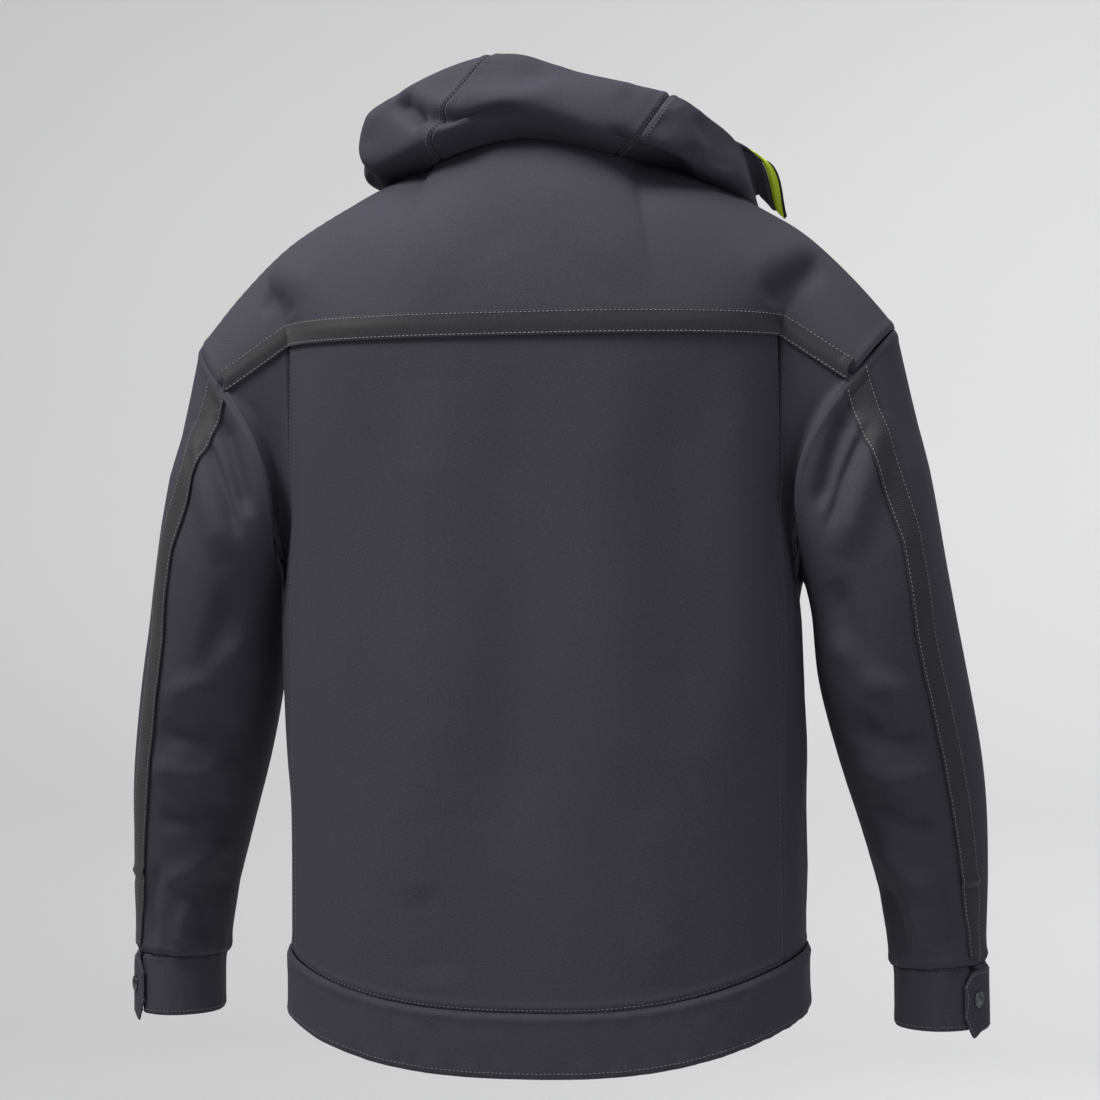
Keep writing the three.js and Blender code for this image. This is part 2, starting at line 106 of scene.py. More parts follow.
# ---- Curves and the large shapes of the coat ----
def spline(knots, share):
    """Points at these shares of a smooth curve through knots, which run along the first axis."""
    knots = np.asarray(knots, float)
    last = len(knots) - 1
    at = np.clip(np.asarray(share, float), 0, 1) * last
    i = np.minimum(at.astype(int), last - 1)
    f = (at - i).reshape(at.shape + (1,) * (knots.ndim - 1))
    ends = np.concatenate([2 * knots[:1] - knots[1:2], knots, 2 * knots[-1:] - knots[-2:-1]])
    a, b, c, d = ends[i], ends[i + 1], ends[i + 2], ends[i + 3]
    return 0.5 * (2 * b + (c - a) * f + (2 * a - 5 * b + 4 * c - d) * f**2 + (3 * b - a - 3 * c + d) * f**3)


def mix(a, b, share):
    return a + (b - a) * share


def point(x, y, z):
    return np.stack(np.broadcast_arrays(x, y, z), -1).astype(float)


def front_depth(z):
    return BODY_FRONT - FRONT_LEAN * (z - HEM_Z) / (ZIP_TOP - HEM_Z)


def body_at(angle, z):
    """The body wall: angle 0 is the centre back, 90 the wearer's right side, 180 the centre front."""
    across, back = np.sin(np.radians(angle)), np.cos(np.radians(angle))
    depth = np.where(back > 0, BODY_BACK, front_depth(z))
    x = BODY_HALF_WIDTH * np.sign(across) * np.abs(across) ** BODY_POWER
    return point(x, -depth * np.sign(back) * np.abs(back) ** BODY_POWER, z)


def hem_at(angle):
    return HEM_Z - TAIL_DROP * np.maximum(0, np.cos(np.radians(angle))) ** 2


# The sleeve's middle line from the armhole down, and at each place its half width, tilt and half depth.
SLEEVE_MIDDLE = [
    (243, 0, -234), (259, 2, -306), (272, 10, -392),
    (289, 31, -480), (302, 50, -564), (307, 60, -640),
]
SLEEVE_SIZE = [(37, 96, 75), (46, 56, 79), (54, 24, 73), (54, 9, 63), (45, 3, 53), (38, 2, 45)]


def sleeve_at(angle, s):
    """The right sleeve: angle 0 is its outer line, 90 its back and 180 the side against the body."""
    middle, size = spline(SLEEVE_MIDDLE, s), spline(SLEEVE_SIZE, s)
    out, back = np.cos(np.radians(angle)), np.sin(np.radians(angle))
    scoop = 30 * np.maximum(0, 1 - 4 * s) * np.abs(back) ** 3
    x = middle[..., 0] + size[..., 0] * out - scoop
    return point(x, middle[..., 1] - size[..., 2] * back, middle[..., 2] + size[..., 1] * out)


def sleeve_seam(s):
    return SLEEVE_BACK_SEAM + 8 * np.sin(math.pi * s) - 12 * s


RIDGE = [(78, 0, 6), (134, 0, -18), (184, 0, -44), (216, 0, -66), (250, 0, -100), (280, 0, -137)]


def yoke_at(u, v, back):
    """The cloth over the shoulders, from the yoke seam up to the neck and the shoulder line."""
    seam_z = YOKE_Z if back else CHEST_Z
    centre, corner = (0, BACK_SEAM) if back else (180, FRONT_SEAM)
    along = body_at(mix(centre, corner, np.minimum(u / PANEL_SHARE, 1)), seam_z)
    joint = sleeve_at(SLEEVE_BACK_SEAM if back else -SLEEVE_BACK_SEAM, np.float64(0))
    past = np.clip((u - PANEL_SHARE) / (1 - PANEL_SHARE), 0, 1)[..., None]
    seam = mix(along, joint, past)
    turn = math.pi / 2 * np.minimum(1, u / NECK_SHARE)
    if back:
        neck_y, neck_z = -NECK_BACK, NECK_BACK_Z
    else:
        neck_y, neck_z = front_depth(NECK_FRONT_Z), NECK_FRONT_Z
    rise = mix(NECK_SIDE_Z, neck_z, np.cos(turn) ** 2)
    neckline = point(NECK_HALF_WIDTH * np.sin(turn), neck_y * np.cos(turn), rise)
    shoulder = spline(RIDGE, np.clip((u - NECK_SHARE) / (1 - NECK_SHARE), 0, 1))
    top = np.where((u < NECK_SHARE)[..., None], neckline, shoulder)
    share = np.array([0.9, 0.2, 0.9] if back else [0.6, 0.35, 0.75])
    bulge = mix(seam, top, share)
    v = np.asarray(v)[..., None]
    return (1 - v) ** 2 * seam + 2 * v * (1 - v) * bulge + v**2 * top


# ---- Folds: how far the cloth stands in or out, from where it is on the coat ----
def crease(p, path, width, height, axes=(0, 2)):
    """A soft ridge, or a valley where height is negative, along a path that fades at both ends."""
    at = p[..., list(axes)]
    path = np.asarray(path, float)
    lengths = np.linalg.norm(np.diff(path, axis=0), axis=1)
    total, run = lengths.sum(), 0.0
    nearest = np.full(at.shape[:-1], 1e9)
    share = np.zeros(at.shape[:-1])
    for a, b, length in zip(path[:-1], path[1:], lengths):
        t = np.clip(((at - a) @ (b - a)) / length**2, 0, 1)
        gap = np.linalg.norm(at - a - t[..., None] * (b - a), axis=-1)
        closer = gap < nearest
        nearest = np.where(closer, gap, nearest)
        share = np.where(closer, (run + t * length) / total, share)
        run += length
    fade = np.clip(np.sin(math.pi * np.clip(share, 0.02, 0.98)) * 1.6, 0, 1)
    return height * np.exp(-((nearest / width) ** 2)) * fade


BACK_FOLDS = [
    ([(-190, -124), (-204, -110), (-222, -104)], 10, -2.6),
    ([(186, -122), (204, -106), (226, -86)], 10, -3.0),
    ([(170, -96), (196, -84), (222, -66)], 16, 2.0),
    ([(-168, -100), (-196, -90), (-220, -78)], 16, 1.8),
    ([(-120, -150), (-112, -330), (-128, -560)], 34, -2.6),
    ([(-60, -170), (-66, -330), (-52, -520)], 30, 2.2),
    ([(-8, -160), (4, -330), (-6, -560)], 26, -2.8),
    ([(58, -150), (66, -320), (78, -540)], 30, 2.4),
    ([(118, -160), (124, -300), (128, -470)], 26, -2.2),
    ([(166, -150), (168, -300), (172, -470)], 16, 2.0),
    ([(-172, -150), (-176, -320), (-180, -560)], 14, 1.6),
    ([(-80, -560), (-70, -600), (-66, -640)], 16, -1.4),
    ([(96, -500), (110, -570), (106, -640)], 18, 1.3),
    ([(-150, -20), (-90, -70), (-40, -110)], 34, 1.6),
    ([(150, -20), (96, -62), (60, -104)], 34, 1.4),
    ([(-60, 4), (-30, -40), (-10, -90)], 26, -1.4),
]
SIDE_FOLDS = [
    ([(-70, -250), (-30, -320), (20, -380)], 14, -4),
    ([(-60, -330), (-30, -420), (-10, -520)], 20, 3),
    ([(30, -360), (50, -450), (46, -560)], 22, -3),
    ([(-20, -420), (10, -500), (20, -600)], 18, 2),
]
FRONT_FOLDS = [
    ([(110, -170), (90, -280), (70, -400)], 26, -2.6),
    ([(60, -170), (56, -300), (50, -440)], 20, 2.2),
    ([(200, -90), (176, -120), (150, -150)], 12, -3.4),
    ([(150, -60), (110, -100), (80, -150)], 24, 1.8),
    ([(130, -440), (120, -520), (126, -600)], 20, 1.6),
]
SLEEVE_FOLDS = [
    ([(250, -196), (236, -236), (222, -282)], 9, -4.0),
    ([(270, -200), (262, -250), (240, -318)], 15, 3.6),
    ([(262, -212), (244, -256), (230, -298)], 6, -2.6),
    ([(292, -210), (296, -300), (300, -380)], 22, 2.0),
    ([(232, -330), (250, -380), (262, -420)], 14, -3.0),
    ([(228, -372), (262, -410), (300, -424)], 13, 2.6),
    ([(240, -440), (268, -456), (306, -452)], 12, -3.4),
    ([(244, -474), (276, -488), (316, -478)], 13, 2.8),
    ([(252, -508), (282, -524), (312, -524)], 11, -3.0),
    ([(258, -540), (284, -566), (310, -580)], 11, 2.4),
    ([(264, -570), (276, -600), (280, -632)], 8, -2.6),
    ([(286, -590), (294, -612), (296, -634)], 8, 2.0),
    ([(312, -560), (322, -600), (318, -634)], 9, -1.8),
]


def unevenness(p, size, height):
    """Slow rises and dips that keep a large panel from looking pressed flat."""
    x, y, z = p[..., 0] / size, p[..., 1] / size, p[..., 2] / size
    level = np.sin(2.1 * x + 1.3 * np.sin(0.9 * z))
    upright = np.sin(1.7 * z + 1.1 * np.sin(1.2 * x + y))
    slanting = np.sin(1.5 * y - 1.9 * x + 0.7 * z)
    return height * (level + upright + slanting) / 3


def body_folds(p):
    behind = np.clip(-p[..., 1] / 30, 0, 1)
    before = np.clip(p[..., 1] / 30, 0, 1)
    side = np.clip((np.abs(p[..., 0]) - 185) / 14, 0, 1)
    mirrored = p * np.array([1, 1, 1.0])
    mirrored[..., 0] = np.abs(mirrored[..., 0])
    back = sum(crease(p, *fold) for fold in BACK_FOLDS)
    front = sum(crease(mirrored, *fold) for fold in FRONT_FOLDS)
    flank = sum(crease(p, *fold, axes=(1, 2)) for fold in SIDE_FOLDS)
    return 1.5 * (back * behind + front * before) + flank * side + unevenness(p, 62, 0.9)


def sleeve_folds(p):
    """Folds of the right sleeve, seen from behind; the front of the arm carries softer ones."""
    behind = np.clip((40 - p[..., 1] + (-p[..., 2] - 300) * 0.2) / 60, 0.35, 1)
    folds = sum(crease(p, path, 0.78 * width, height) for path, width, height in SLEEVE_FOLDS)
    return 1.9 * folds * behind + unevenness(p, 40, 0.8)


# ---- Turning shapes into pieces ----
def spread(count, crowd=0.0):
    """Shares from 0 to 1, closer together near both ends where crowd is above 0."""
    t = np.linspace(0, 1, count)
    return t - crowd * np.sin(2 * math.pi * t) / (2 * math.pi)


def normals_of(grid):
    across = np.cross(np.gradient(grid, axis=1), np.gradient(grid, axis=0))
    return across / np.maximum(np.linalg.norm(across, axis=-1, keepdims=True), 1e-9)


def travel(grid, axis):
    """Distance along the cloth from the grid's first row or column."""
    steps = np.linalg.norm(np.diff(grid, axis=axis), axis=-1)
    start = np.zeros_like(np.take(steps, [0], axis=axis))
    return np.concatenate([start, np.cumsum(steps, axis=axis)], axis=axis)


def from_edges(grid):
    """Distance of each point from the left, right, bottom and top edges of its panel."""
    across, up = travel(grid, 1), travel(grid, 0)
    return {"l": across, "r": across[:, -1:] - across, "b": up, "t": up[-1:] - up}


def panel(surface, columns, rows, folds=None, seams="", dip=1.5, rolls=""):
    """A grid of points on the cloth's outer face.

    Its seams sink into the join, and its rolls curl in at a hem.
    """
    u, v = np.meshgrid(spread(columns, 0.75), spread(rows, 0.75))
    grid = surface(u, v)
    lift = folds(grid) if folds else np.zeros(grid.shape[:-1])
    edges = from_edges(grid)
    for side in seams:
        gap = edges[side]
        pucker = 1 + 0.25 * np.sin(grid[..., 2] * 0.55 + grid[..., 0] * 0.47)
        lift = lift - dip * np.exp(-((gap / 2.2) ** 2)) + 0.5 * np.exp(-(((gap - 5) / 3) ** 2)) * pucker
    for side in rolls:
        lift = lift - 1.6 * np.exp(-edges[side] / 1.1)
    return grid + normals_of(grid) * lift[..., None]


def flipped(grid):
    """The same cloth on the wearer's left, still facing out."""
    return grid[:, ::-1] * np.array([-1, 1, 1])


def on_side(grid, sign):
    """Cloth made for the wearer's right, on the side that the sign gives."""
    return flipped(grid) if sign < 0 else grid


def mesh_piece(name, verts, faces, material_of=None, uv=None, smooth=True):
    mesh = bpy.data.meshes.new(name)
    mesh.from_pydata((np.asarray(verts).reshape(-1, 3) * MM).tolist(), [], faces)
    if smooth:
        mesh.polygons.foreach_set("use_smooth", [True] * len(mesh.polygons))
    if material_of is not None:
        mesh.polygons.foreach_set("material_index", material_of)
    if uv is not None:
        layer = mesh.uv_layers.new(name="cloth")
        corner = np.zeros(len(mesh.loops), np.int32)
        mesh.loops.foreach_get("vertex_index", corner)
        layer.data.foreach_set("uv", (np.asarray(uv)[corner] * MM).astype(np.float32).ravel())
    mesh.update()
    piece = bpy.data.objects.new(name, mesh)
    bpy.context.scene.collection.objects.link(piece)
    return piece


def grid_faces(rows, columns, start=0, inside_out=False):
    i = np.arange(rows - 1)[:, None] * columns + np.arange(columns - 1)[None, :] + start
    i = i.ravel()
    quads = np.stack([i, i + 1, i + 1 + columns, i + columns], -1)
    return quads[:, ::-1] if inside_out else quads


def cloth(name, grid, thickness, outer, inner=None, turn=0.0):
    """A sheet of cloth from the grid of its outer face, with its inner face and its cut edges."""
    rows, columns = grid.shape[:2]
    face = normals_of(grid)
    verts = np.concatenate([grid.reshape(-1, 3), (grid - face * thickness).reshape(-1, 3)])
    count = rows * columns
    ring = np.concatenate([
        np.arange(columns), np.arange(1, rows) * columns + columns - 1,
        (rows - 1) * columns + np.arange(columns - 2, -1, -1), np.arange(rows - 2, 0, -1) * columns,
    ])
    after = np.roll(ring, -1)
    rim = np.stack([ring + count, after + count, after, ring], -1)
    outside = grid_faces(rows, columns)
    inside = grid_faces(rows, columns, count, inside_out=True)
    faces = np.concatenate([outside, inside, rim]).tolist()
    material_of = [0] * len(outside) + [1 if inner else 0] * len(inside) + [0] * len(rim)
    flat = np.stack([travel(grid, 1), travel(grid, 0)], -1).reshape(-1, 2)
    c, s = math.cos(turn), math.sin(turn)
    flat = flat @ np.array([[c, s], [-s, c]])
    piece = mesh_piece(name, verts, faces, material_of, np.concatenate([flat, flat]))
    piece.data.materials.append(outer)
    if inner:
        piece.data.materials.append(inner)
    return piece


def row_along(grid, side, inset):
    """The line on a panel's outer face that keeps this distance from one edge, and the way out there."""
    edges, face = from_edges(grid), normals_of(grid)
    gap = edges[side]
    if side in "bt":
        gap, points, face = gap.T, grid.transpose(1, 0, 2), face.transpose(1, 0, 2)
    else:
        points = grid
    if side in "rt":
        gap, points, face = gap[:, ::-1], points[:, ::-1], face[:, ::-1]
    line, out = [], []
    for gaps, row, way in zip(gap, points, face):
        line.append([np.interp(inset, gaps, row[:, k]) for k in range(3)])
        out.append([np.interp(inset, gaps, way[:, k]) for k in range(3)])
    return np.array(line), np.array(out)


def stitches(lines, trim=2.0):
    """Thread lying along each line: short plump beads with a gap between, sunk a little in the cloth."""
    verts, faces = [], []
    for line, out in lines:
        length = np.concatenate([[0], np.cumsum(np.linalg.norm(np.diff(line, axis=0), axis=1))])
        if length[-1] < 3 * STITCH_PITCH:
            continue
        for at in np.arange(trim, length[-1] - trim, STITCH_PITCH):
            ends = np.array([
                [np.interp(at + d, length, line[:, k]) for k in range(3)]
                for d in (0, STITCH_PITCH * 0.74)
            ])
            up = np.array([np.interp(at, length, out[:, k]) for k in range(3)])
            up /= max(np.linalg.norm(up), 1e-9)
            along = ends[1] - ends[0]
            side = np.cross(along, up)
            side /= max(np.linalg.norm(side), 1e-9)
            first = len(verts)
            verts += [ends[0] - up * 0.1]
            for share in (0.25, 0.75):
                middle = mix(ends[0], ends[1], share) + up * 0.14
                verts += [middle + side * 0.3, middle + up * 0.24, middle - side * 0.3, middle - up * 0.2]
            verts += [ends[1] - up * 0.1]
            for k in range(4):
                a, b = first + 1 + k, first + 1 + (k + 1) % 4
                faces += [(first, a, b), (a, a + 4, b + 4, b), (first + 9, b + 4, a + 4)]
    return verts, faces


def sew(name, lines, thread):
    verts, faces = stitches(lines)
    piece = mesh_piece(name, verts, faces)
    piece.data.materials.append(thread)
    return piece


# ---- Materials ----
def colour(code):
    """A colour written as screen hex, as the linear values that shaders take."""
    channels = [int(code[i : i + 2], 16) / 255 for i in (1, 3, 5)]
    linear = [c / 12.92 if c <= 0.04045 else ((c + 0.055) / 1.055) ** 2.4 for c in channels]
    return (*linear, 1.0)


def add(tree, kind, inputs=None, **settings):
    """One shader node, its settings, and its inputs as plain values or as the sockets that feed them."""
    made = tree.nodes.new(kind)
    for key, value in settings.items():
        setattr(made, key, value)
    for key, value in (inputs or {}).items():
        if isinstance(value, bpy.types.NodeSocket):
            tree.links.new(value, made.inputs[key])
        else:
            made.inputs[key].default_value = value
    return made


def ramp(tree, value, stops):
    """A colour ramp from stops of (place, colour)."""
    made = add(tree, "ShaderNodeValToRGB", {"Fac": value})
    band = made.color_ramp
    while len(band.elements) < len(stops):
        band.elements.new(0.5)
    for element, (place, shade) in zip(band.elements, stops):
        element.position = place
        element.color = shade
    return made.outputs["Color"]


def blank(name):
    material = bpy.data.materials.new(name)
    material.use_nodes = True
    tree = material.node_tree
    tree.nodes.clear()
    return material, tree


def surface(tree, bump, strength, depth, **inputs):
    """The shader that closes a material, with its surface relief."""
    relief = add(tree, "ShaderNodeBump", {"Height": bump, "Strength": strength, "Distance": depth})
    shader = add(tree, "ShaderNodeBsdfPrincipled", {"Normal": relief.outputs["Normal"]})
    for key, value in inputs.items():
        name = key.replace("_", " ")
        if isinstance(value, bpy.types.NodeSocket):
            tree.links.new(value, shader.inputs[name])
        else:
            shader.inputs[name].default_value = value
    out = add(tree, "ShaderNodeOutputMaterial")
    tree.links.new(shader.outputs["BSDF"], out.inputs["Surface"])


def woven(name, base, dark, light, yarn, roughness, sheen, relief=0.00025, slow=0.5):
    """Cloth of two-tone yarn: heathered flecks along the yarn, a fine weave, and slow shading from wear."""
    material, tree = blank(name)
    flat = add(tree, "ShaderNodeUVMap", uv_map="cloth").outputs["UV"]
    solid = add(tree, "ShaderNodeTexCoord").outputs["Object"]
    stretched = add(tree, "ShaderNodeMapping", {"Vector": flat, "Scale": (1 / yarn, 0.6 / yarn, 1)})
    flecks = add(tree, "ShaderNodeTexNoise", {
        "Vector": stretched.outputs["Vector"], "Scale": 0.9, "Detail": 3.0, "Roughness": 0.7,
    })
    level = add(tree, "ShaderNodeMapping", {"Vector": flat, "Scale": (0.6 / yarn, 1 / yarn, 1)})
    cross = add(tree, "ShaderNodeTexNoise", {
        "Vector": level.outputs["Vector"], "Scale": 0.8, "Detail": 2.0, "Roughness": 0.65,
    })
    both = add(tree, "ShaderNodeMath", {0: flecks.outputs["Fac"], 1: cross.outputs["Fac"]}, operation="ADD")
    half = add(tree, "ShaderNodeMath", {0: both.outputs[0], 1: 0.5}, operation="MULTIPLY")
    mottle = ramp(tree, half.outputs[0], [(0.3, dark), (0.5, base), (0.72, light)])
    cloudy = add(tree, "ShaderNodeTexNoise", {
        "Vector": solid, "Scale": 9.0, "Detail": 4.0, "Roughness": 0.6,
    })
    worn = ramp(tree, cloudy.outputs["Fac"], [(0.3, (0.9, 0.9, 0.9, 1)), (0.7, (1.08, 1.08, 1.08, 1))])
    tint = add(tree, "ShaderNodeMixRGB", {
        "Fac": slow, "Color1": mottle, "Color2": worn,
    }, blend_type="MULTIPLY")
    ribs = add(tree, "ShaderNodeTexWave", {
        "Vector": flat, "Scale": 0.32 / yarn, "Distortion": 1.2, "Detail": 1.0,
    }, wave_type="BANDS", bands_direction="DIAGONAL", wave_profile="SIN")
    weave = add(tree, "ShaderNodeMath", {0: ribs.outputs["Fac"], 1: half.outputs[0]}, operation="MULTIPLY")
    creasing = add(tree, "ShaderNodeTexNoise", {
        "Vector": solid, "Scale": 34.0, "Detail": 3.0, "Roughness": 0.55,
    })
    slow_height = add(tree, "ShaderNodeMath", {0: creasing.outputs["Fac"], 1: 2.2}, operation="MULTIPLY")
    height = add(tree, "ShaderNodeMath", {0: weave.outputs[0], 1: slow_height.outputs[0]}, operation="ADD")
    dull = add(tree, "ShaderNodeMapRange", {
        "Value": half.outputs[0], "To Min": roughness - 0.06, "To Max": roughness + 0.05,
    })
    surface(
        tree, height.outputs[0], 0.55, relief,
        Base_Color=tint.outputs["Color"], Roughness=dull.outputs["Result"],
        Sheen_Weight=sheen, Sheen_Roughness=0.45, Sheen_Tint=light, Specular_IOR_Level=0.28,
    )
    return material


def webbing(name, base, crown_highlight, edge):
    """Ribbed tape: stiff cross ribs 1.4 mm apart with a slight shine; its colour carries painted highlight
    on the crowns and painted shade in the grooves.
    """
    material, tree = blank(name)
    flat = add(tree, "ShaderNodeUVMap", uv_map="cloth").outputs["UV"]
    ribs = add(tree, "ShaderNodeTexWave", {
        "Vector": flat, "Scale": 250.0, "Distortion": 0.3, "Detail": 1.0,
    }, wave_type="BANDS", bands_direction="X", wave_profile="SIN")
    lint = add(tree, "ShaderNodeTexNoise", {"Vector": flat, "Scale": 900.0, "Detail": 2.0})
    tone = add(tree, "ShaderNodeMath", {
        0: ribs.outputs["Fac"], 1: lint.outputs["Fac"],
    }, operation="MULTIPLY")
    # The ramp follows the rib relief: its dark stop is painted shade in the grooves, and its light stop is
    # painted highlight on the crowns.
    shade = ramp(tree, tone.outputs[0], [(0.05, edge), (0.3, base), (0.62, crown_highlight)])
    surface(
        tree, ribs.outputs["Fac"], 0.6, 0.0003,
        Base_Color=shade, Roughness=0.62, Sheen_Weight=0.12, Specular_IOR_Level=0.4,
    )
    return material


def thread(name, base, light):
    """Twisted polyester thread: a fine lay along each stitch and a little shine, with painted highlight on
    the twist's crowns and painted shade in its hollows.
    """
    material, tree = blank(name)
    solid = add(tree, "ShaderNodeTexCoord").outputs["Object"]
    twist = add(tree, "ShaderNodeTexWave", {
        "Vector": solid, "Scale": 900.0,
    }, wave_type="BANDS", bands_direction="DIAGONAL")
    # The twist's relief is painted into the colour: the base colour in its hollows is painted shade, and
    # the light colour on its crowns is painted highlight.
    shade = ramp(tree, twist.outputs["Fac"], [(0.0, base), (1.0, light)])
    surface(tree, twist.outputs["Fac"], 0.4, 0.0001, Base_Color=shade, Roughness=0.55, Sheen_Weight=0.2)
    return material


def metal(name, base, worn, roughness):
    """Dark plated metal: fine scratches, and brighter where fingers rub it."""
    material, tree = blank(name)
    solid = add(tree, "ShaderNodeTexCoord").outputs["Object"]
    long = add(tree, "ShaderNodeMapping", {"Vector": solid, "Scale": (1.0, 1.0, 14.0)})
    scratch = add(tree, "ShaderNodeTexNoise", {
        "Vector": long.outputs["Vector"], "Scale": 600.0, "Detail": 4.0,
    })
    rub = add(tree, "ShaderNodeTexNoise", {"Vector": solid, "Scale": 160.0, "Detail": 2.0})
    shade = ramp(tree, rub.outputs["Fac"], [(0.35, base), (0.7, worn)])
    dull = add(tree, "ShaderNodeMapRange", {
        "Value": scratch.outputs["Fac"], "To Min": roughness - 0.08, "To Max": roughness + 0.14,
    })
    surface(
        tree, scratch.outputs["Fac"], 0.15, 0.0001,
        Base_Color=shade, Roughness=dull.outputs["Result"], Metallic=0.9,
    )
    return material


def moulded(name, base, light):
    """Moulded plastic zip teeth and coated tape: satin, with a faint sink texture."""
    material, tree = blank(name)
    solid = add(tree, "ShaderNodeTexCoord").outputs["Object"]
    sink = add(tree, "ShaderNodeTexNoise", {"Vector": solid, "Scale": 420.0, "Detail": 3.0})
    shade = ramp(tree, sink.outputs["Fac"], [(0.35, base), (0.7, light)])
    dull = add(tree, "ShaderNodeMapRange", {"Value": sink.outputs["Fac"], "To Min": 0.38, "To Max": 0.52})
    surface(
        tree, sink.outputs["Fac"], 0.25, 0.0001,
        Base_Color=shade, Roughness=dull.outputs["Result"], IOR=1.46,
    )
    return material


# Yarn sizes are in metres, and are drawn coarser than the real yarn so that the weave shows.
# Brushed polyester shell: matt and slightly heathered, with a soft sheen where it turns away.
shell_cloth = woven(
    "charcoal_shell", colour("#3c3a43"), colour("#36343d"), colour("#46444d"),
    0.0011, 0.84, 0.22, slow=0.3,
)
# Knitted fleece lining: darker, rougher and more hazy than the shell.
lining_cloth = woven(
    "dark_lining", colour("#2c2d32"), colour("#232428"), colour("#3c3d43"), 0.0016, 0.9, 0.35,
)
# Dyed polyester: flat, strong yellow-green with little shading of its own.
bright_cloth = woven(
    "bright_lining", colour("#dcf53c"), colour("#c4de24"), colour("#eaff5c"),
    0.0013, 0.75, 0.15, slow=0.25,
)
# Close-woven binding: near black and smoother than the shell.
binding_cloth = woven(
    "black_binding", colour("#1a1a1c"), colour("#121214"), colour("#2a2a2c"), 0.0009, 0.7, 0.12,
)
# Ribbed tape: the lighter colour is painted highlight on the rib crowns, and the darkest is painted shade
# in the grooves.
tape_cloth = webbing("ribbed_tape", colour("#242426"), colour("#363638"), colour("#18181a"))
# Each thread's second colour is painted highlight on the crowns of its twist.
tonal_thread = thread("charcoal_thread", colour("#55535a"), colour("#77757c"))
pale_thread = thread("grey_thread", colour("#77767c"), colour("#96959b"))
snap_metal = metal("dark_snap", colour("#3a3b3e"), colour("#84868a"), 0.26)
zip_metal = metal("dark_zip_metal", colour("#2f3034"), colour("#6e7075"), 0.34)
zip_plastic = moulded("zip_plastic", colour("#151517"), colour("#2b2b2f"))


# ---- Pieces whose placing is baked into their mesh, with no joint to follow ----
SIDES = (("right", 1), ("left", -1))


def bends_with_sleeve(piece):
    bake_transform(piece)


def bends_with_front(piece):
    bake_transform(piece)


def bends_with_hood(piece):
    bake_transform(piece)


# ---- Body panels ----
def wall(low_angle, high_angle, low, high):
    def at(u, v):
        angle = mix(low_angle, high_angle, u)
        return body_at(angle, mix(low(angle), high(angle), v))

    return at


def band_top(angle):
    return hem_at(angle) + BAND_HEIGHT


def to_yoke(angle):
    return np.full_like(angle, YOKE_Z)


def to_chest(angle):
    return np.full_like(angle, CHEST_Z)


def both_ways(surface_of_side):
    """A surface that runs across the centre back, from one that runs from the centre to the right."""

    def at(u, v):
        side = 2 * u - 1
        return surface_of_side(np.abs(side), v) * point(np.where(side < 0, -1, 1), 1, 1)

    return at


back_wall = wall(-BACK_SEAM, BACK_SEAM, band_top, to_yoke)
back_grid = panel(back_wall, 170, 200, body_folds, seams="lrbt", dip=0.8)
back_panel = cloth("back_panel_cloth", back_grid, SHELL_THICK, shell_cloth, lining_cloth)
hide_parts("back_panel")
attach(back_panel, "torso")

yoke_grid = panel(both_ways(lambda u, v: yoke_at(u, v, True)), 260, 90, body_folds, seams="blrt", dip=0.9)
back_yoke = cloth("back_yoke_cloth", yoke_grid, SHELL_THICK, shell_cloth, lining_cloth)
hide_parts("back_yoke")
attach(back_yoke, "torso")

CORNER_SHARE = 0.16


def side_at(u, v):
    """The panel under the arm, whose top edge runs round the lower armhole."""
    angle = mix(BACK_SEAM, FRONT_SEAM, u)
    turn = np.clip((u - CORNER_SHARE) / (1 - 2 * CORNER_SHARE), 0, 1)
    ring = sleeve_at(mix(SLEEVE_BACK_SEAM, 360 - SLEEVE_BACK_SEAM, turn), np.zeros_like(u))
    back_corner = body_at(BACK_SEAM, np.float64(YOKE_Z))
    front_corner = body_at(FRONT_SEAM, np.float64(CHEST_Z))
    behind = np.clip(u / CORNER_SHARE, 0, 1)[..., None]
    before = np.clip((1 - u) / CORNER_SHARE, 0, 1)[..., None]
    top = np.where(behind < 1, mix(back_corner, sleeve_at(SLEEVE_BACK_SEAM, np.float64(0)), behind), ring)
    top = np.where(before < 1, mix(front_corner, sleeve_at(-SLEEVE_BACK_SEAM, np.float64(0)), before), top)
    rise = 1 - (1 - v) ** 1.7
    z = mix(band_top(angle), top[..., 2], rise)
    reach = top - body_at(angle, top[..., 2])
    settle = point(rise**14, rise**2.4, 0)
    return body_at(angle, z) + reach * settle


side_grid = panel(side_at, 90, 150, body_folds, seams="lrbt", dip=0.8)
front_yoke_grid = panel(
    lambda u, v: yoke_at(mix(1, 0.02, u), v, False), 130, 70, body_folds, seams="blt",
)
front_edge_angle = 180 - math.degrees(math.asin((FRONT_EDGE / BODY_HALF_WIDTH) ** (1 / BODY_POWER)))
front_wall = wall(FRONT_SEAM, front_edge_angle, band_top, to_chest)
front_grid = panel(front_wall, 70, 130, body_folds, seams="lbt", rolls="r")
for side, sign in SIDES:
    grid = on_side(side_grid, sign)
    piece = cloth(f"side_panel_cloth_{side}", grid, SHELL_THICK, shell_cloth, lining_cloth)
    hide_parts(f"side_panel_{side}")
    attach(piece, "torso")
    grid = on_side(front_yoke_grid, sign)
    piece = cloth(f"front_yoke_cloth_{side}", grid, SHELL_THICK, shell_cloth, lining_cloth)
    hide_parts(f"front_yoke_{side}", f"neck_front_{side}")
    bends_with_front(piece)
    grid = on_side(front_grid, sign)
    piece = cloth(f"front_panel_cloth_{side}", grid, SHELL_THICK, shell_cloth, lining_cloth)
    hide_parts(f"front_panel_{side}")
    bends_with_front(piece)


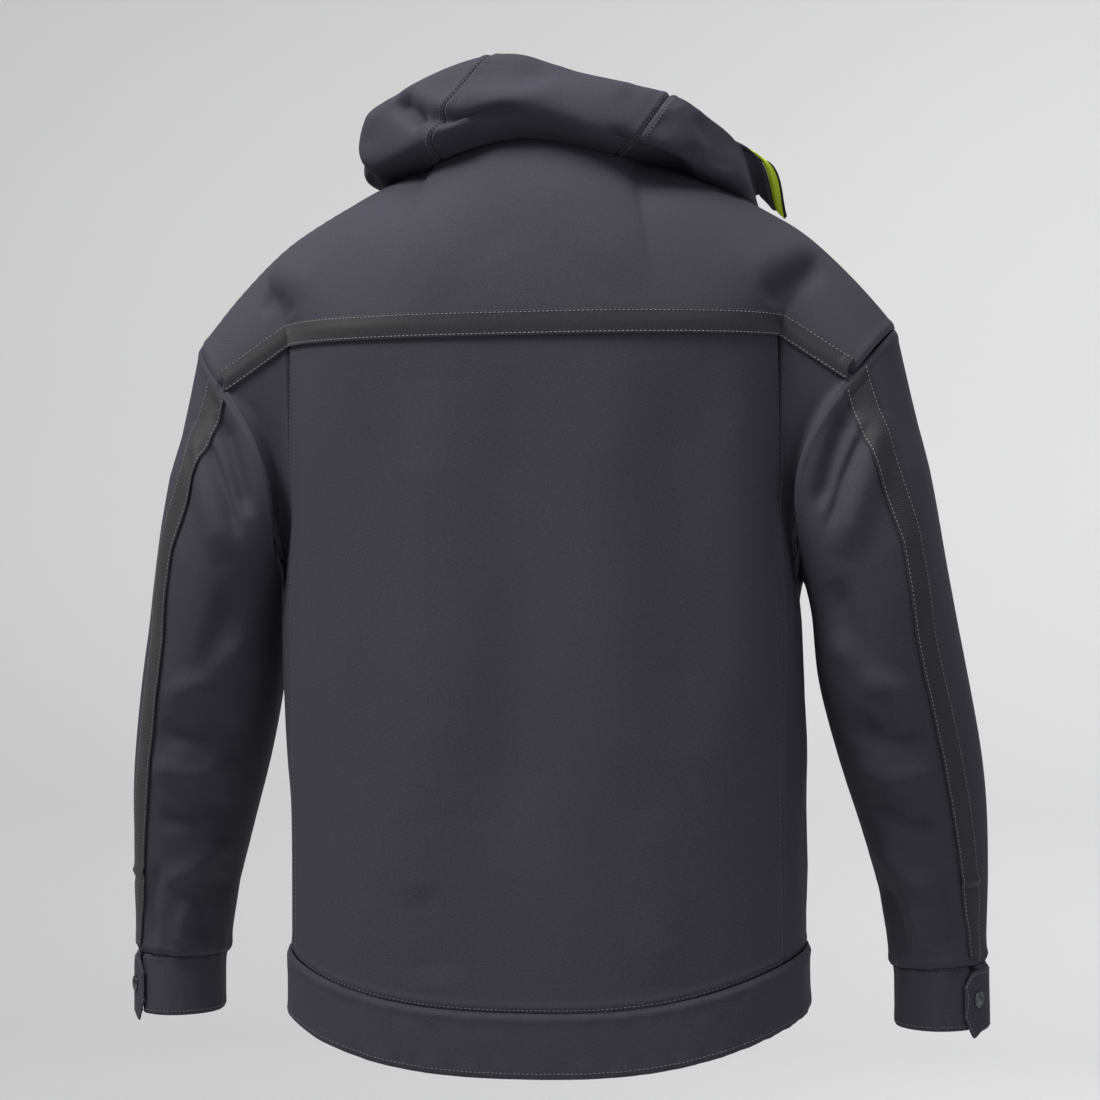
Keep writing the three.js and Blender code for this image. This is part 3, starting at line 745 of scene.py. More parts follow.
# ---- Hem band: a doubled band, puckered along its rows of stitching ----
def band_ease(p):
    """The band stands off the panel above it and ripples where its stitching has drawn it up."""
    along = p[..., 0] + 0.8 * p[..., 1]
    low = np.exp(-(((p[..., 2] - hem_of(p)) - 7) / 7) ** 2)
    top = np.exp(-(((p[..., 2] - hem_of(p)) - 44) / 6) ** 2)
    ripple = np.sin(along * 0.21 + np.sin(along * 0.05)) + 0.6 * np.sin(along * 0.47)
    flare = 2.5 * np.clip((np.abs(p[..., 0]) - 120) / 80, 0, 1)
    return 0.9 + flare + ripple * (0.55 * low + 0.35 * top) + unevenness(p, 38, 0.5)


def hem_of(p):
    share = np.clip(-p[..., 1] / BODY_BACK, 0, 1)
    return HEM_Z - TAIL_DROP * share**1.5


band_wall = wall(-FRONT_SEAM, FRONT_SEAM, hem_at, band_top)
band_grid = panel(band_wall, 420, 34, band_ease, seams="t", rolls="b", dip=1.0)
hem_band = cloth("hem_band_cloth", band_grid, BAND_THICK, shell_cloth, shell_cloth)
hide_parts("hem_band_back")
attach(hem_band, "torso")
front_band_wall = wall(FRONT_SEAM, front_edge_angle, hem_at, band_top)
front_band_grid = panel(front_band_wall, 90, 34, band_ease, seams="t", rolls="br", dip=1.0)
for side, sign in SIDES:
    grid = on_side(front_band_grid, sign)
    piece = cloth(f"hem_band_cloth_{side}", grid, BAND_THICK, shell_cloth, shell_cloth)
    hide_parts(f"hem_band_front_{side}")
    bends_with_front(piece)


# ---- Sleeves: an outer and an under panel, joined under the tape and along the inner arm ----
def sleeve_wall(first, last):
    def at(u, v):
        s = 1 - v
        return sleeve_at(mix(first(s), last(s), u), s)

    return at


def front_line(s):
    return np.full_like(s, SLEEVE_FRONT_SEAM)


def around_line(s):
    return np.full_like(s, SLEEVE_FRONT_SEAM + 360)


def gathered(p):
    """The sleeve is eased into the cuff, so it blouses and ripples just above it."""
    near = np.exp(-(((p[..., 2] - CUFF_TOP) / 14) ** 2))
    along = np.arctan2(p[..., 1] - CUFF_MIDDLE[1], p[..., 0] - CUFF_MIDDLE[0])
    return sleeve_folds(p) + near * (0.9 + 0.7 * np.sin(along * 13 + 0.7 * np.sin(along * 4)))


sleeve_outer_grid = panel(sleeve_wall(sleeve_seam, front_line), 90, 240, gathered, seams="lrbt", dip=0.8)
sleeve_under_grid = panel(sleeve_wall(around_line, sleeve_seam), 130, 240, gathered, seams="lrbt", dip=0.8)


def back_tape_at(u, v):
    """The tape lies over the yoke seam: its upper half on the yoke, its lower half on the panels below."""
    side = 2 * u - 1
    along = np.abs(side) * 0.98
    rise = (2 * v - 1) * TAPE_WIDTH / 2
    seam = yoke_at(along, 0 * v, True)
    up = yoke_at(along, 0 * v + 0.05, True) - seam
    up /= np.linalg.norm(up, axis=-1, keepdims=True)
    slope = np.where((rise < 0)[..., None], point(-0.12 * along**8, 0, 1), up)
    return (seam + slope * rise[..., None]) * point(np.where(side < 0, -1, 1), 1, 1)


PLACKET = 0.865


def sleeve_tape_at(u, v):
    """The tape runs down the back seam, and narrows into the strip that edges the cuff's opening."""
    s = mix(0.985, 0.006, v)
    width = mix(TAPE_WIDTH, TAPE_WIDTH * 0.72, np.clip((s - PLACKET) / 0.06, 0, 1))
    reach = width / 2 * 57.3 / mix(78, 42, s)
    return sleeve_at(sleeve_seam(s) + mix(reach, -reach, u), s)


def turned_end(from_end, reach, height):
    """Extra height where a tape's end is folded under and bar-stitched."""
    return height * np.clip(1.4 - from_end / reach, 0, 1) ** 0.5


def edge_rows(grid, insets, sides):
    """Lines for stitching, at these distances in from these edges."""
    return [row_along(grid, side, inset) for side in sides for inset in insets]


def taped(shape, columns, rows, folds, ends):
    """A tape laid on the cloth, which follows its folds and is turned under at these ends."""
    grid = panel(shape, columns, rows, lambda p: folds(p) + 2.3)
    edges, face = from_edges(grid), normals_of(grid)
    for side in ends:
        grid = grid + face * turned_end(edges[side], 6, 1.1)[..., None]
    return grid


back_tape_grid = taped(back_tape_at, 420, 16, body_folds, "lr")
back_tape = cloth("back_tape_cloth", back_tape_grid, TAPE_THICK, tape_cloth)
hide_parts("back_tape")
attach(back_tape, "torso")


def placket_fold(p):
    """The tape's folded lower end, where the strip of the opening starts."""
    drop = (p[..., 2] + 570) / 3.2
    return gathered(p) + 1.5 * np.exp(-(drop**2)) - 0.8 * np.exp(-((drop + 1.8) ** 2))


sleeve_tape_grid = taped(sleeve_tape_at, 16, 300, placket_fold, "t")


def swung(grid, sign):
    """The left arm is the mirror of the right, but hangs a little further out towards its cuff."""
    if sign > 0:
        return grid
    left = flipped(grid) if grid.ndim == 3 else grid * np.array([-1, 1, 1])
    left[..., 0] -= 16 * np.clip((-left[..., 2] - 234) / 420, 0, 1) ** 1.5
    return left


# ---- Cuffs ----
def cuff_at(angle, z, out=0.0):
    """The cuff ring, standing out from its own surface by a given distance."""
    c, s = np.cos(np.radians(angle)), np.sin(np.radians(angle))
    ring = point(CUFF_MIDDLE[0] + CUFF_HALF_WIDTH * c, CUFF_MIDDLE[1] - CUFF_HALF_DEPTH * s, z)
    away = point(c / CUFF_HALF_WIDTH, -s / CUFF_HALF_DEPTH, 0)
    return ring + away / np.linalg.norm(away, axis=-1, keepdims=True) * np.asarray(out)[..., None]


def cuff_shape(u, v):
    angle = mix(38, 38 - 352, u)
    z = mix(CUFF_BOTTOM, CUFF_TOP + 1, v)
    flare = 1.0 + 0.6 * np.sin(np.radians(angle * 3 + 40)) + 0.4 * np.sin(np.radians(angle * 5))
    return cuff_at(angle, z, flare * (1 - 0.4 * v))


def cuff_ease(p):
    along = np.arctan2(p[..., 1] - CUFF_MIDDLE[1], p[..., 0] - CUFF_MIDDLE[0])
    high = np.exp(-(((p[..., 2] - CUFF_TOP) / 10) ** 2))
    low = np.exp(-(((p[..., 2] - CUFF_BOTTOM - 6) / 6) ** 2))
    return 0.5 * high * np.sin(along * 17) + 0.3 * low * np.sin(along * 23 + 1) + unevenness(p, 20, 0.4)


cuff_grid = panel(cuff_shape, 220, 40, cuff_ease, seams="t", rolls="blr")


def tab_shape(u, v):
    """The tab wraps the cuff's outer back and ends in a blunt point below the snap."""
    angle = mix(58, -8, u)
    end = np.clip(1 - u / 0.26, 0, 1)
    low = CUFF_BOTTOM - 2 - 5 * np.exp(-(((u - 0.2) / 0.16) ** 2)) + 14 * end**2
    high = CUFF_TOP - 3 - 12 * end**2
    return cuff_at(angle, mix(low, high, v), 3.4 + 1.2 * end)


def tab_ease(p):
    return unevenness(p, 16, 0.35)


tab_grid = panel(tab_shape, 60, 40, tab_ease, rolls="lbt")
SNAP_ANGLE = 38
SNAP_Z = -666.0
CAP_SEAT = 3.9
STUD_SEAT = 1.0


def turned(name, profile, centre, out, material, segments=40):
    """A round metal piece from its profile of (radius, height), facing out of the cloth."""
    out = np.asarray(out, float) / np.linalg.norm(out)
    side = np.cross(out, (0, 0, 1.0))
    side /= np.linalg.norm(side)
    up = np.cross(side, out)
    verts, faces = [], []
    for radius, height in profile:
        for k in range(segments):
            a = 2 * math.pi * k / segments
            spoke = side * math.cos(a) + up * math.sin(a)
            verts.append(np.asarray(centre) + out * height + spoke * radius)
    for ring in range(len(profile) - 1):
        for k in range(segments):
            a, b = ring * segments + k, ring * segments + (k + 1) % segments
            faces.append((a, b, b + segments, a + segments))
    faces.append(tuple(range(segments))[::-1])
    faces.append(tuple(len(verts) - segments + k for k in range(segments)))
    piece = mesh_piece(name, verts, faces)
    piece.data.materials.append(material)
    return piece


CAP_PROFILE = [
    (4.6, 0), (6.0, 0.1), (6.3, 0.5), (6.2, 0.9), (5.7, 1.3), (5.2, 1.35), (4.9, 1.15),
    (4.6, 1.1), (4.2, 1.5), (3.2, 2.0), (2.0, 2.25), (0.8, 2.35), (0.05, 2.36),
]
STUD_PROFILE = [
    (4.4, 0), (4.6, 0.3), (4.3, 0.6), (2.4, 0.7), (1.9, 1.0), (2.1, 1.7), (1.6, 2.0), (0.05, 2.0),
]

for side, sign in SIDES:
    for name, grid, stood in (
        ("sleeve_outer_cloth", sleeve_outer_grid, f"sleeve_outer_{side}"),
        ("sleeve_under_cloth", sleeve_under_grid, f"sleeve_under_{side}"),
    ):
        piece = cloth(f"{name}_{side}", swung(grid, sign), SHELL_THICK, shell_cloth, lining_cloth)
        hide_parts(stood)
        bends_with_sleeve(piece)
    grid = swung(sleeve_tape_grid, sign)
    piece = cloth(f"sleeve_tape_cloth_{side}", grid, TAPE_THICK, tape_cloth, turn=math.pi / 2)
    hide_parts(f"sleeve_tape_{side}")
    bends_with_sleeve(piece)
    grid = swung(cuff_grid, sign)
    piece = cloth(f"cuff_cloth_{side}", grid, CUFF_THICK, shell_cloth, shell_cloth)
    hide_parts(f"cuff_{side}")
    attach(piece, f"sleeve_{side}")
    grid = swung(tab_grid, sign)
    piece = cloth(f"cuff_tab_cloth_{side}", grid, TAB_THICK, shell_cloth, shell_cloth)
    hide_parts(f"cuff_tab_{side}")
    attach(piece, f"cuff_tab_{side}")
    facing = math.radians(SNAP_ANGLE)
    out = np.array([math.cos(facing) / CUFF_HALF_WIDTH * sign, -math.sin(facing) / CUFF_HALF_DEPTH, 0])
    seat = swung(cuff_at(np.float64(SNAP_ANGLE), SNAP_Z, CAP_SEAT), sign)
    cap = turned(f"snap_cap_metal_{side}", CAP_PROFILE, seat, out, snap_metal)
    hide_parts(f"snap_cap_{side}")
    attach(cap, f"cuff_tab_{side}")
    seat = swung(cuff_at(np.float64(SNAP_ANGLE), SNAP_Z, STUD_SEAT), sign)
    low_profile = [(radius, height * 0.5) for radius, height in STUD_PROFILE]
    stud = turned(f"snap_stud_metal_{side}", low_profile, seat, out, snap_metal)
    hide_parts(f"snap_stud_{side}")
    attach(stud, f"sleeve_{side}")


# ---- Hood: three panels slumped behind the neck, edged with bright cloth and black binding ----
# Each row runs from the wearer's left cheek, round the back, to the right cheek.
HOOD_ROWS = [
    [
        (-74, 46, -10), (-88, -2, -10), (-68, -57, -2), (0, -65, 9),
        (66, -57, -3), (90, 0, -12), (76, 46, -14),
    ],
    [
        (-132, 52, -18), (-138, -22, -6), (-68, -88, 18), (6, -98, 34),
        (86, -86, 4), (154, -20, -22), (164, 40, -48),
    ],
    [
        (-154, 36, 20), (-122, -36, 48), (-27, -76, 76), (45, -70, 60),
        (110, -60, 43), (156, -12, 12), (168, 42, -24),
    ],
    [
        (-118, 50, 34), (-92, 2, 48), (-14, -34, 62), (38, -26, 48),
        (100, -22, 34), (155, 2, 15), (171, 48, -26),
    ],
    [
        (-96, 62, 28), (-70, 26, 40), (-10, -2, 50), (44, 6, 40),
        (112, 10, 24), (179, 26, 1), (190, 60, -46),
    ],
]
HOOD_FOLDS = [
    ([(-108, 50), (-97, 40), (-78, 24)], 7, -11.0),
    ([(-118, 44), (-134, 36), (-143, 18), (-130, -10)], 9, 4.0),
    ([(-92, 52), (-70, 40), (-50, 34)], 9, 3.0),
    ([(-84, 30), (-62, 26), (-34, 25), (4, 30)], 5, -8.0),
    ([(-156, 30), (-145, 4), (-130, -20)], 4, -6.0),
    ([(-36, 66), (-4, 54), (30, 58)], 14, -2.6),
    ([(-60, 44), (-20, 40), (36, 44)], 10, 2.6),
    ([(64, 10), (90, -2), (128, -18)], 7, -9.0),
    ([(76, 50), (96, 30), (112, 6)], 12, -2.6),
    ([(112, 40), (124, 16), (130, -4)], 8, 4.0),
    ([(128, 30), (146, 6), (150, -20)], 8, -3.6),
]


def hood_at(u, v):
    rows = np.stack([spline(row, u) for row in HOOD_ROWS])
    ends = np.concatenate([2 * rows[:1] - rows[1:2], rows, 2 * rows[-1:] - rows[-2:-1]])
    at = np.clip(np.asarray(v, float), 0, 1) * (len(rows) - 1)
    i = np.minimum(at.astype(int), len(rows) - 2)
    f = (at - i)[..., None]
    a, b, c, d = (np.take_along_axis(ends, (i + k)[None, ..., None], 0)[0] for k in range(4))
    return 0.5 * (2 * b + (c - a) * f + (2 * a - 5 * b + 4 * c - d) * f**2 + (3 * b - a - 3 * c + d) * f**3)


def hood_folds(p):
    behind = np.clip((10 - p[..., 1]) / 40, 0.25, 1)
    return sum(crease(p, *fold) for fold in HOOD_FOLDS) * behind + unevenness(p, 34, 1.1)


def hood_part(left, right, low, high):
    return lambda u, v: hood_at(mix(left, right, u), mix(low, high, v))


HOOD_SEAMS = (0.33, 0.67)
hood_grids = {}
for name, left, right, seams in (
    ("hood_left", 0.0, HOOD_SEAMS[0] + 0.0015, "rbt"),
    ("hood_centre", HOOD_SEAMS[0] - 0.0015, HOOD_SEAMS[1] + 0.0015, "lrbt"),
    ("hood_right", HOOD_SEAMS[1] - 0.0015, 1.0, "lbt"),
):
    hood_grids[name] = panel(hood_part(left, right, 0, 0.905), 110, 150, hood_folds, seams=seams, dip=2.0)
    piece = cloth(f"{name}_cloth", hood_grids[name], HOOD_THICK, shell_cloth, lining_cloth)
    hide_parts(name)
    bends_with_hood(piece)
trim_grid = panel(hood_part(0.01, 0.99, 0.907, 0.986), 220, 14, hood_folds, seams="b", dip=0.8)
hood_trim = cloth("hood_trim_cloth", trim_grid, TRIM_THICK, bright_cloth)
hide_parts("hood_trim")
bends_with_hood(hood_trim)
binding_grid = panel(hood_part(0.01, 0.99, 0.988, 1.0), 220, 8, hood_folds, rolls="bt")
hood_binding = cloth("hood_binding_cloth", binding_grid, BINDING_THICK, binding_cloth)
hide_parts("hood_binding")
bends_with_hood(hood_binding)


# ---- Neck band and hanging loop ----
NECK_FIT = 0.94


def neck_at(angle, rise):
    back = np.cos(np.radians(angle))
    depth = np.where(back > 0, float(NECK_BACK), front_depth(NECK_FRONT_Z))
    foot = mix(NECK_SIDE_Z, np.where(back > 0, NECK_BACK_Z, NECK_FRONT_Z), back**2)
    across = NECK_HALF_WIDTH * np.sin(np.radians(angle)) * NECK_FIT
    return point(across, -depth * back * NECK_FIT, foot + rise)


def neck_part(low_angle, high_angle):
    return lambda u, v: neck_at(mix(low_angle, high_angle, u), mix(-5, 20, v))


neck_grid = panel(neck_part(-92, 92), 120, 20, lambda p: unevenness(p, 22, 0.5), rolls="bt")
neck_band = cloth("neck_band_cloth", neck_grid, BAND_THICK, shell_cloth, shell_cloth)
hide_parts("neck_band")
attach(neck_band, "torso")
front_neck_grid = panel(neck_part(93, 174), 80, 20, lambda p: unevenness(p, 22, 0.5), rolls="brt")
for side, sign in SIDES:
    grid = on_side(front_neck_grid, sign)
    piece = cloth(f"neck_band_cloth_{side}", grid, BAND_THICK, shell_cloth, shell_cloth)
    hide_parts(f"neck_band_front_{side}")
    bends_with_front(piece)


def loop_at(u, v):
    across = 2 * u - 1
    drop = 20 * np.sqrt(np.clip(1 - across**2, 0, 1)) ** 1.2
    return point(30 * across, -44.2 + 0 * u, 20 - drop + mix(-4, 4, v) * (1 - 0.3 * across**2))


loop_grid = loop_at(*np.meshgrid(np.linspace(1, 0, 60), np.linspace(0, 1, 8)))
hanging_loop = cloth("hanging_loop_tape", loop_grid, LOOP_THICK, tape_cloth)
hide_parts("hanging_loop")
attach(hanging_loop, "torso")


# ---- Linings: a bright upper back, the dark body below it, and the facings inside the fronts ----
def lined(low_angle, high_angle, low, high):
    """Cloth hanging just inside the shell, facing in towards the wearer."""
    shape = wall(high_angle, low_angle, low, high)

    def at(u, v):
        p = shape(u, v)
        return p - away_from_middle(p) * (LINING_GAP - body_folds(p))[..., None]

    return at


def away_from_middle(p):
    way = p * np.array([1, 1, 0]) / np.array([BODY_HALF_WIDTH**2, BODY_BACK**2, 1])
    return way / np.maximum(np.linalg.norm(way, axis=-1, keepdims=True), 1e-9)


LINING_TOP = -440


def above_hem(angle):
    return hem_at(angle) + 6


def to_level(z):
    return lambda angle: 0 * angle + z


for name, replaced, reach, low, high, material, slot_name in (
    (
        "lining_body_cloth", "lining_body", FRONT_SEAM - 3,
        above_hem, to_level(LINING_TOP), lining_cloth, "lining_cloth",
    ),
    (
        "lining_back_cloth", "lining_back", BACK_SEAM - 12,
        to_level(LINING_TOP + 2), to_yoke, bright_cloth, "bright_cloth",
    ),
):
    grid = panel(lined(-reach, reach, low, high), 160, 60)
    piece = cloth(name, grid, LINING_THICK, material)
    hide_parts(replaced)
    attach(piece, "torso")
facing_wall = lined(FRONT_SEAM + 3, front_edge_angle, above_hem, to_level(CHEST_Z - 8))
facing_grid = panel(facing_wall, 40, 60)
for side, sign in SIDES:
    grid = on_side(facing_grid, sign)
    piece = cloth(f"front_facing_cloth_{side}", grid, LINING_THICK, lining_cloth)
    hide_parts(f"front_facing_{side}")
    bends_with_front(piece)


# ---- Front zip: folded tapes, moulded teeth, stops, pin, box, slider and pull ----
TOOTH_IN, TOOTH_OUT = 2.7, 5.3
TOOTH_PITCH = 2.6
ZIP_DEPTH = 1.5
TOOTH_MIDDLE = 4


def zip_tape_at(u, v):
    knots = [(16, -5.6), (9.8, -5.2), (8.2, -1), (5.7, -1)]
    at = np.clip(u, 0, 1) * 3
    i = np.minimum(at.astype(int), 2)
    place = np.asarray(knots, float)
    between = mix(place[i], place[i + 1], (at - i)[..., None])
    z = mix(ZIP_BOTTOM, ZIP_TOP, v)
    return point(between[..., 0], front_depth(z) + between[..., 1], z)


def bead(verts, faces, centre, size, round_by=0.32):
    """A moulded tooth: a block with its corners pulled in."""
    first = len(verts)
    rings = [(-1, 1 - round_by), (-1 + round_by, 1), (1 - round_by, 1), (1, 1 - round_by)]
    corners = [
        (-1, -0.55), (-0.55, -1), (0.55, -1), (1, -0.55),
        (1, 0.55), (0.55, 1), (-0.55, 1), (-1, 0.55),
    ]
    for height, reach in rings:
        for a, b in corners:
            corner = np.array([a * reach * size[0], height * size[1], b * reach * size[2]])
            verts.append(np.asarray(centre) + corner / 2)
    count = len(corners)
    for ring in range(len(rings) - 1):
        for k in range(count):
            a, b = first + ring * count + k, first + ring * count + (k + 1) % count
            faces.append((a, a + count, b + count, b))
    faces.append(tuple(first + k for k in range(count)))
    last = first + (len(rings) - 1) * count
    faces.append(tuple(last + k for k in range(count))[::-1])


def blocks(name, places, material):
    verts, faces = [], []
    for centre, size in places:
        bead(verts, faces, centre, size)
    piece = mesh_piece(name, verts, faces, smooth=False)
    piece.data.materials.append(material)
    return piece


zip_tape_grid = zip_tape_at(*np.meshgrid(np.linspace(0, 1, 31), np.linspace(0, 1, 120)))
for side, sign in SIDES:
    body = f"front_{side}"
    grid = on_side(zip_tape_grid, sign)
    piece = cloth(f"zip_tape_cloth_{side}", grid, TAPE_THICK, zip_plastic)
    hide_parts(f"zip_tape_{side}")
    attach(piece, body)
    teeth = []
    shift = 0 if sign > 0 else TOOTH_PITCH / 2
    for z in np.arange(ZIP_BOTTOM + 13.3 + shift, ZIP_TOP - 6.5, TOOTH_PITCH):
        place = (sign * (TOOTH_IN + TOOTH_OUT) / 2, front_depth(z) - ZIP_DEPTH, z)
        teeth.append((place, (TOOTH_OUT - TOOTH_IN, 2.4, TOOTH_PITCH * 0.6)))
    piece = blocks(f"zip_teeth_moulded_{side}", teeth, zip_plastic)
    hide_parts(f"zip_teeth_{side}")
    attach(piece, body)
    z = ZIP_TOP - 2.8
    stop = ((sign * TOOTH_MIDDLE, front_depth(z) - ZIP_DEPTH, z), (2.6, 2.9, 5.2))
    piece = blocks(f"zip_stop_metal_{side}", [stop], zip_metal)
    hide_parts(f"zip_top_stop_{side}")
    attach(piece, body)
    z = ZIP_BOTTOM + 5.8
    name, thick = ("zip_pin", 2.0) if sign > 0 else ("zip_box", 2.6)
    foot = ((sign * TOOTH_MIDDLE, front_depth(z) - thick / 2, z), (2.6, thick, 11.4))
    piece = blocks(f"{name}_metal", [foot], zip_metal)
    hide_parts(name)
    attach(piece, body)


SLIDER_FOOT = ZIP_BOTTOM + 12.5
slider_z = SLIDER_FOOT + 6
slider_y = front_depth(slider_z) - ZIP_DEPTH
slider_x = -2.3
# Two plates joined by a post, with a lug each side of the pull.
zip_slider = blocks("zip_slider_metal", [
    ((slider_x, slider_y + 2.3, slider_z), (7.8, 1.3, 12)),
    ((slider_x, slider_y - 2.3, slider_z), (7.8, 1.3, 12)),
    ((0.1, slider_y, slider_z + 1), (2.2, 3.6, 9)),
    ((slider_x - 3.35, slider_y + 4.9, slider_z + 0.4), (0.8, 4.4, 2.6)),
    ((slider_x + 3.35, slider_y + 4.9, slider_z + 0.4), (0.8, 4.4, 2.6)),
], zip_metal)
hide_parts("zip_slider")
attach(zip_slider, "zip_slider")


def pull_verts(centre):
    """A flat drop-shaped pull with a round hole near its top and eased edges."""
    verts, faces, count = [], [], 48
    # Radius of the hole's rings, or 0 on the outer edge; how far that edge is eased; and the depth.
    rings = [
        (1.1, 0.0, -0.55), (1.25, 0.0, -0.7), (0, 0.3, -0.7), (0, 0.0, -0.4),
        (0, 0.0, 0.4), (0, 0.3, 0.7), (1.25, 0.0, 0.7), (1.1, 0.0, 0.55),
    ]
    for radius, inset, y in rings:
        for k in range(count):
            a = 2 * math.pi * k / count
            if radius:
                x, z = radius * math.cos(a), 10.4 + radius * math.sin(a)
            else:
                x, z = (3.6 - inset) * math.cos(a), (13 - inset) * math.sin(a)
            verts.append(np.asarray(centre) + np.array([x, y, z]))
    total = len(rings)
    for ring in range(total):
        for k in range(count):
            a, b = ring * count + k, ring * count + (k + 1) % count
            c, d = (ring + 1) % total * count + k, (ring + 1) % total * count + (k + 1) % count
            faces.append((a, b, d, c))
    return verts, faces


pull_y = front_depth(SLIDER_FOOT) + 4.5
pull_shape = pull_verts((slider_x, pull_y, SLIDER_FOOT - 4))
zip_pull = mesh_piece("zip_pull_metal", *pull_shape, smooth=False)
zip_pull.data.materials.append(zip_metal)
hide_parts("zip_pull")
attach(zip_pull, "zip_pull")


# ---- Sleeve linings ----
LINING_START = 0.3


def sleeve_lining_at(u, v):
    """A tube inside the sleeve, from below the armhole to above the cuff, facing in."""
    s = mix(0.98, LINING_START, v)
    p = sleeve_at(mix(SLEEVE_FRONT_SEAM + 360, SLEEVE_FRONT_SEAM, u), s)
    middle = spline(SLEEVE_MIDDLE, s)
    way = (p - middle) / np.maximum(np.linalg.norm(p - middle, axis=-1, keepdims=True), 1e-9)
    return p - way * SLEEVE_LINING_GAP


# ---- Patch pockets ----
def pocket_wall(low, high):
    def at(u, v):
        slant = POCKET_SLANT * (1 - u)
        return body_at(mix(FRONT_SEAM + 3, 168, u), mix(low(slant), high(slant), v))

    return at


def over_shell(height):
    return lambda p: body_folds(p) + height


pocket_body = pocket_wall(lambda slant: POCKET_FOOT + 0 * slant, lambda slant: POCKET_MOUTH - slant)
pocket_edge = pocket_wall(lambda slant: POCKET_MOUTH + 0.5 - slant, lambda slant: POCKET_MOUTH + 9 - slant)
pocket_grid = panel(pocket_body, 60, 70, over_shell(3.2), rolls="lrbt")
pocket_trim_grid = panel(pocket_edge, 60, 8, over_shell(2.2), rolls="t")
lining_sleeve_grid = panel(sleeve_lining_at, 80, 60)
for side, sign in SIDES:
    for name, grid, thickness, material, stood, slot_name in (
        ("pocket_cloth", pocket_grid, POCKET_THICK, shell_cloth, "pocket", "shell_cloth"),
        ("pocket_trim_cloth", pocket_trim_grid, LINING_THICK, bright_cloth, "pocket_trim", "bright_cloth"),
    ):
        piece = cloth(f"{name}_{side}", on_side(grid, sign), thickness, material)
        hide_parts(f"{stood}_{side}")
        bends_with_front(piece)
    grid = swung(lining_sleeve_grid, sign)
    piece = cloth(f"sleeve_lining_cloth_{side}", grid, LINING_THICK, lining_cloth)
    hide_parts(f"sleeve_lining_{side}")
    bends_with_sleeve(piece)


# ---- Stitching ----
def sewn_on(name, lines, thread, join):
    """Rows of stitches, placed as the cloth that they hold is placed: attached to the same body, or baked
    in place.
    """
    piece = sew(name, lines, thread)
    join(piece)


def to_torso(piece):
    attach(piece, "torso")


tape_rows = edge_rows(back_tape_grid, (1.7,), "bt")
sewn_on("back_tape_stitching", tape_rows, pale_thread, to_torso)
body_rows = edge_rows(back_grid, (3.0,), "lr")
body_rows += edge_rows(back_grid, (2.4,), "b")
body_rows += edge_rows(band_grid, (5.0,), "b")
sewn_on("back_stitching", body_rows, tonal_thread, to_torso)
hood_rows = edge_rows(hood_grids["hood_left"], (2.6, 6.4), "r")
hood_rows += edge_rows(hood_grids["hood_centre"], (2.6,), "lr")
hood_rows += edge_rows(hood_grids["hood_right"], (2.6, 6.4), "l")
sewn_on("hood_stitching", hood_rows, tonal_thread, bends_with_hood)
for side, sign in SIDES:

    def with_sleeve(piece):
        bends_with_sleeve(piece)

    def with_front(piece):
        bends_with_front(piece)

    def with_cuff(piece):
        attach(piece, f"sleeve_{side}")

    def with_tab(piece):
        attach(piece, f"cuff_tab_{side}")

    tape_rows = edge_rows(swung(sleeve_tape_grid, sign), (1.7,), "lr")
    sewn_on(f"sleeve_tape_stitching_{side}", tape_rows, pale_thread, with_sleeve)
    cuff_rows = edge_rows(swung(cuff_grid, sign), (2.2,), "t")
    cuff_rows += edge_rows(swung(cuff_grid, sign), (4.0,), "b")
    sewn_on(f"cuff_stitching_{side}", cuff_rows, tonal_thread, with_cuff)
    tab_rows = edge_rows(swung(tab_grid, sign), (3.0,), "bt")
    tab_rows += edge_rows(swung(tab_grid, sign), (3.0,), "r" if sign < 0 else "l")
    sewn_on(f"tab_stitching_{side}", tab_rows, tonal_thread, with_tab)
    front_rows = edge_rows(on_side(front_grid, sign), (2.4,), "b")
    front_rows += edge_rows(on_side(front_grid, sign), (3.0,), "lr")
    front_rows += edge_rows(on_side(pocket_grid, sign), (2.2,), "lrbt")
    front_rows += edge_rows(on_side(front_band_grid, sign), (5.0,), "b")
    sewn_on(f"front_stitching_{side}", front_rows, tonal_thread, with_front)


# ---- Backdrop, camera and light ----
def plain(name, shade, roughness):
    """Studio paper: one even matt tone."""
    material, tree = blank(name)
    grain = add(tree, "ShaderNodeTexNoise", {"Scale": 3.0, "Detail": 2.0})
    tone = ramp(tree, grain.outputs["Fac"], [(0.0, shade), (1.0, shade)])
    surface(tree, grain.outputs["Fac"], 0.02, 0.001, Base_Color=tone, Roughness=roughness)
    return material


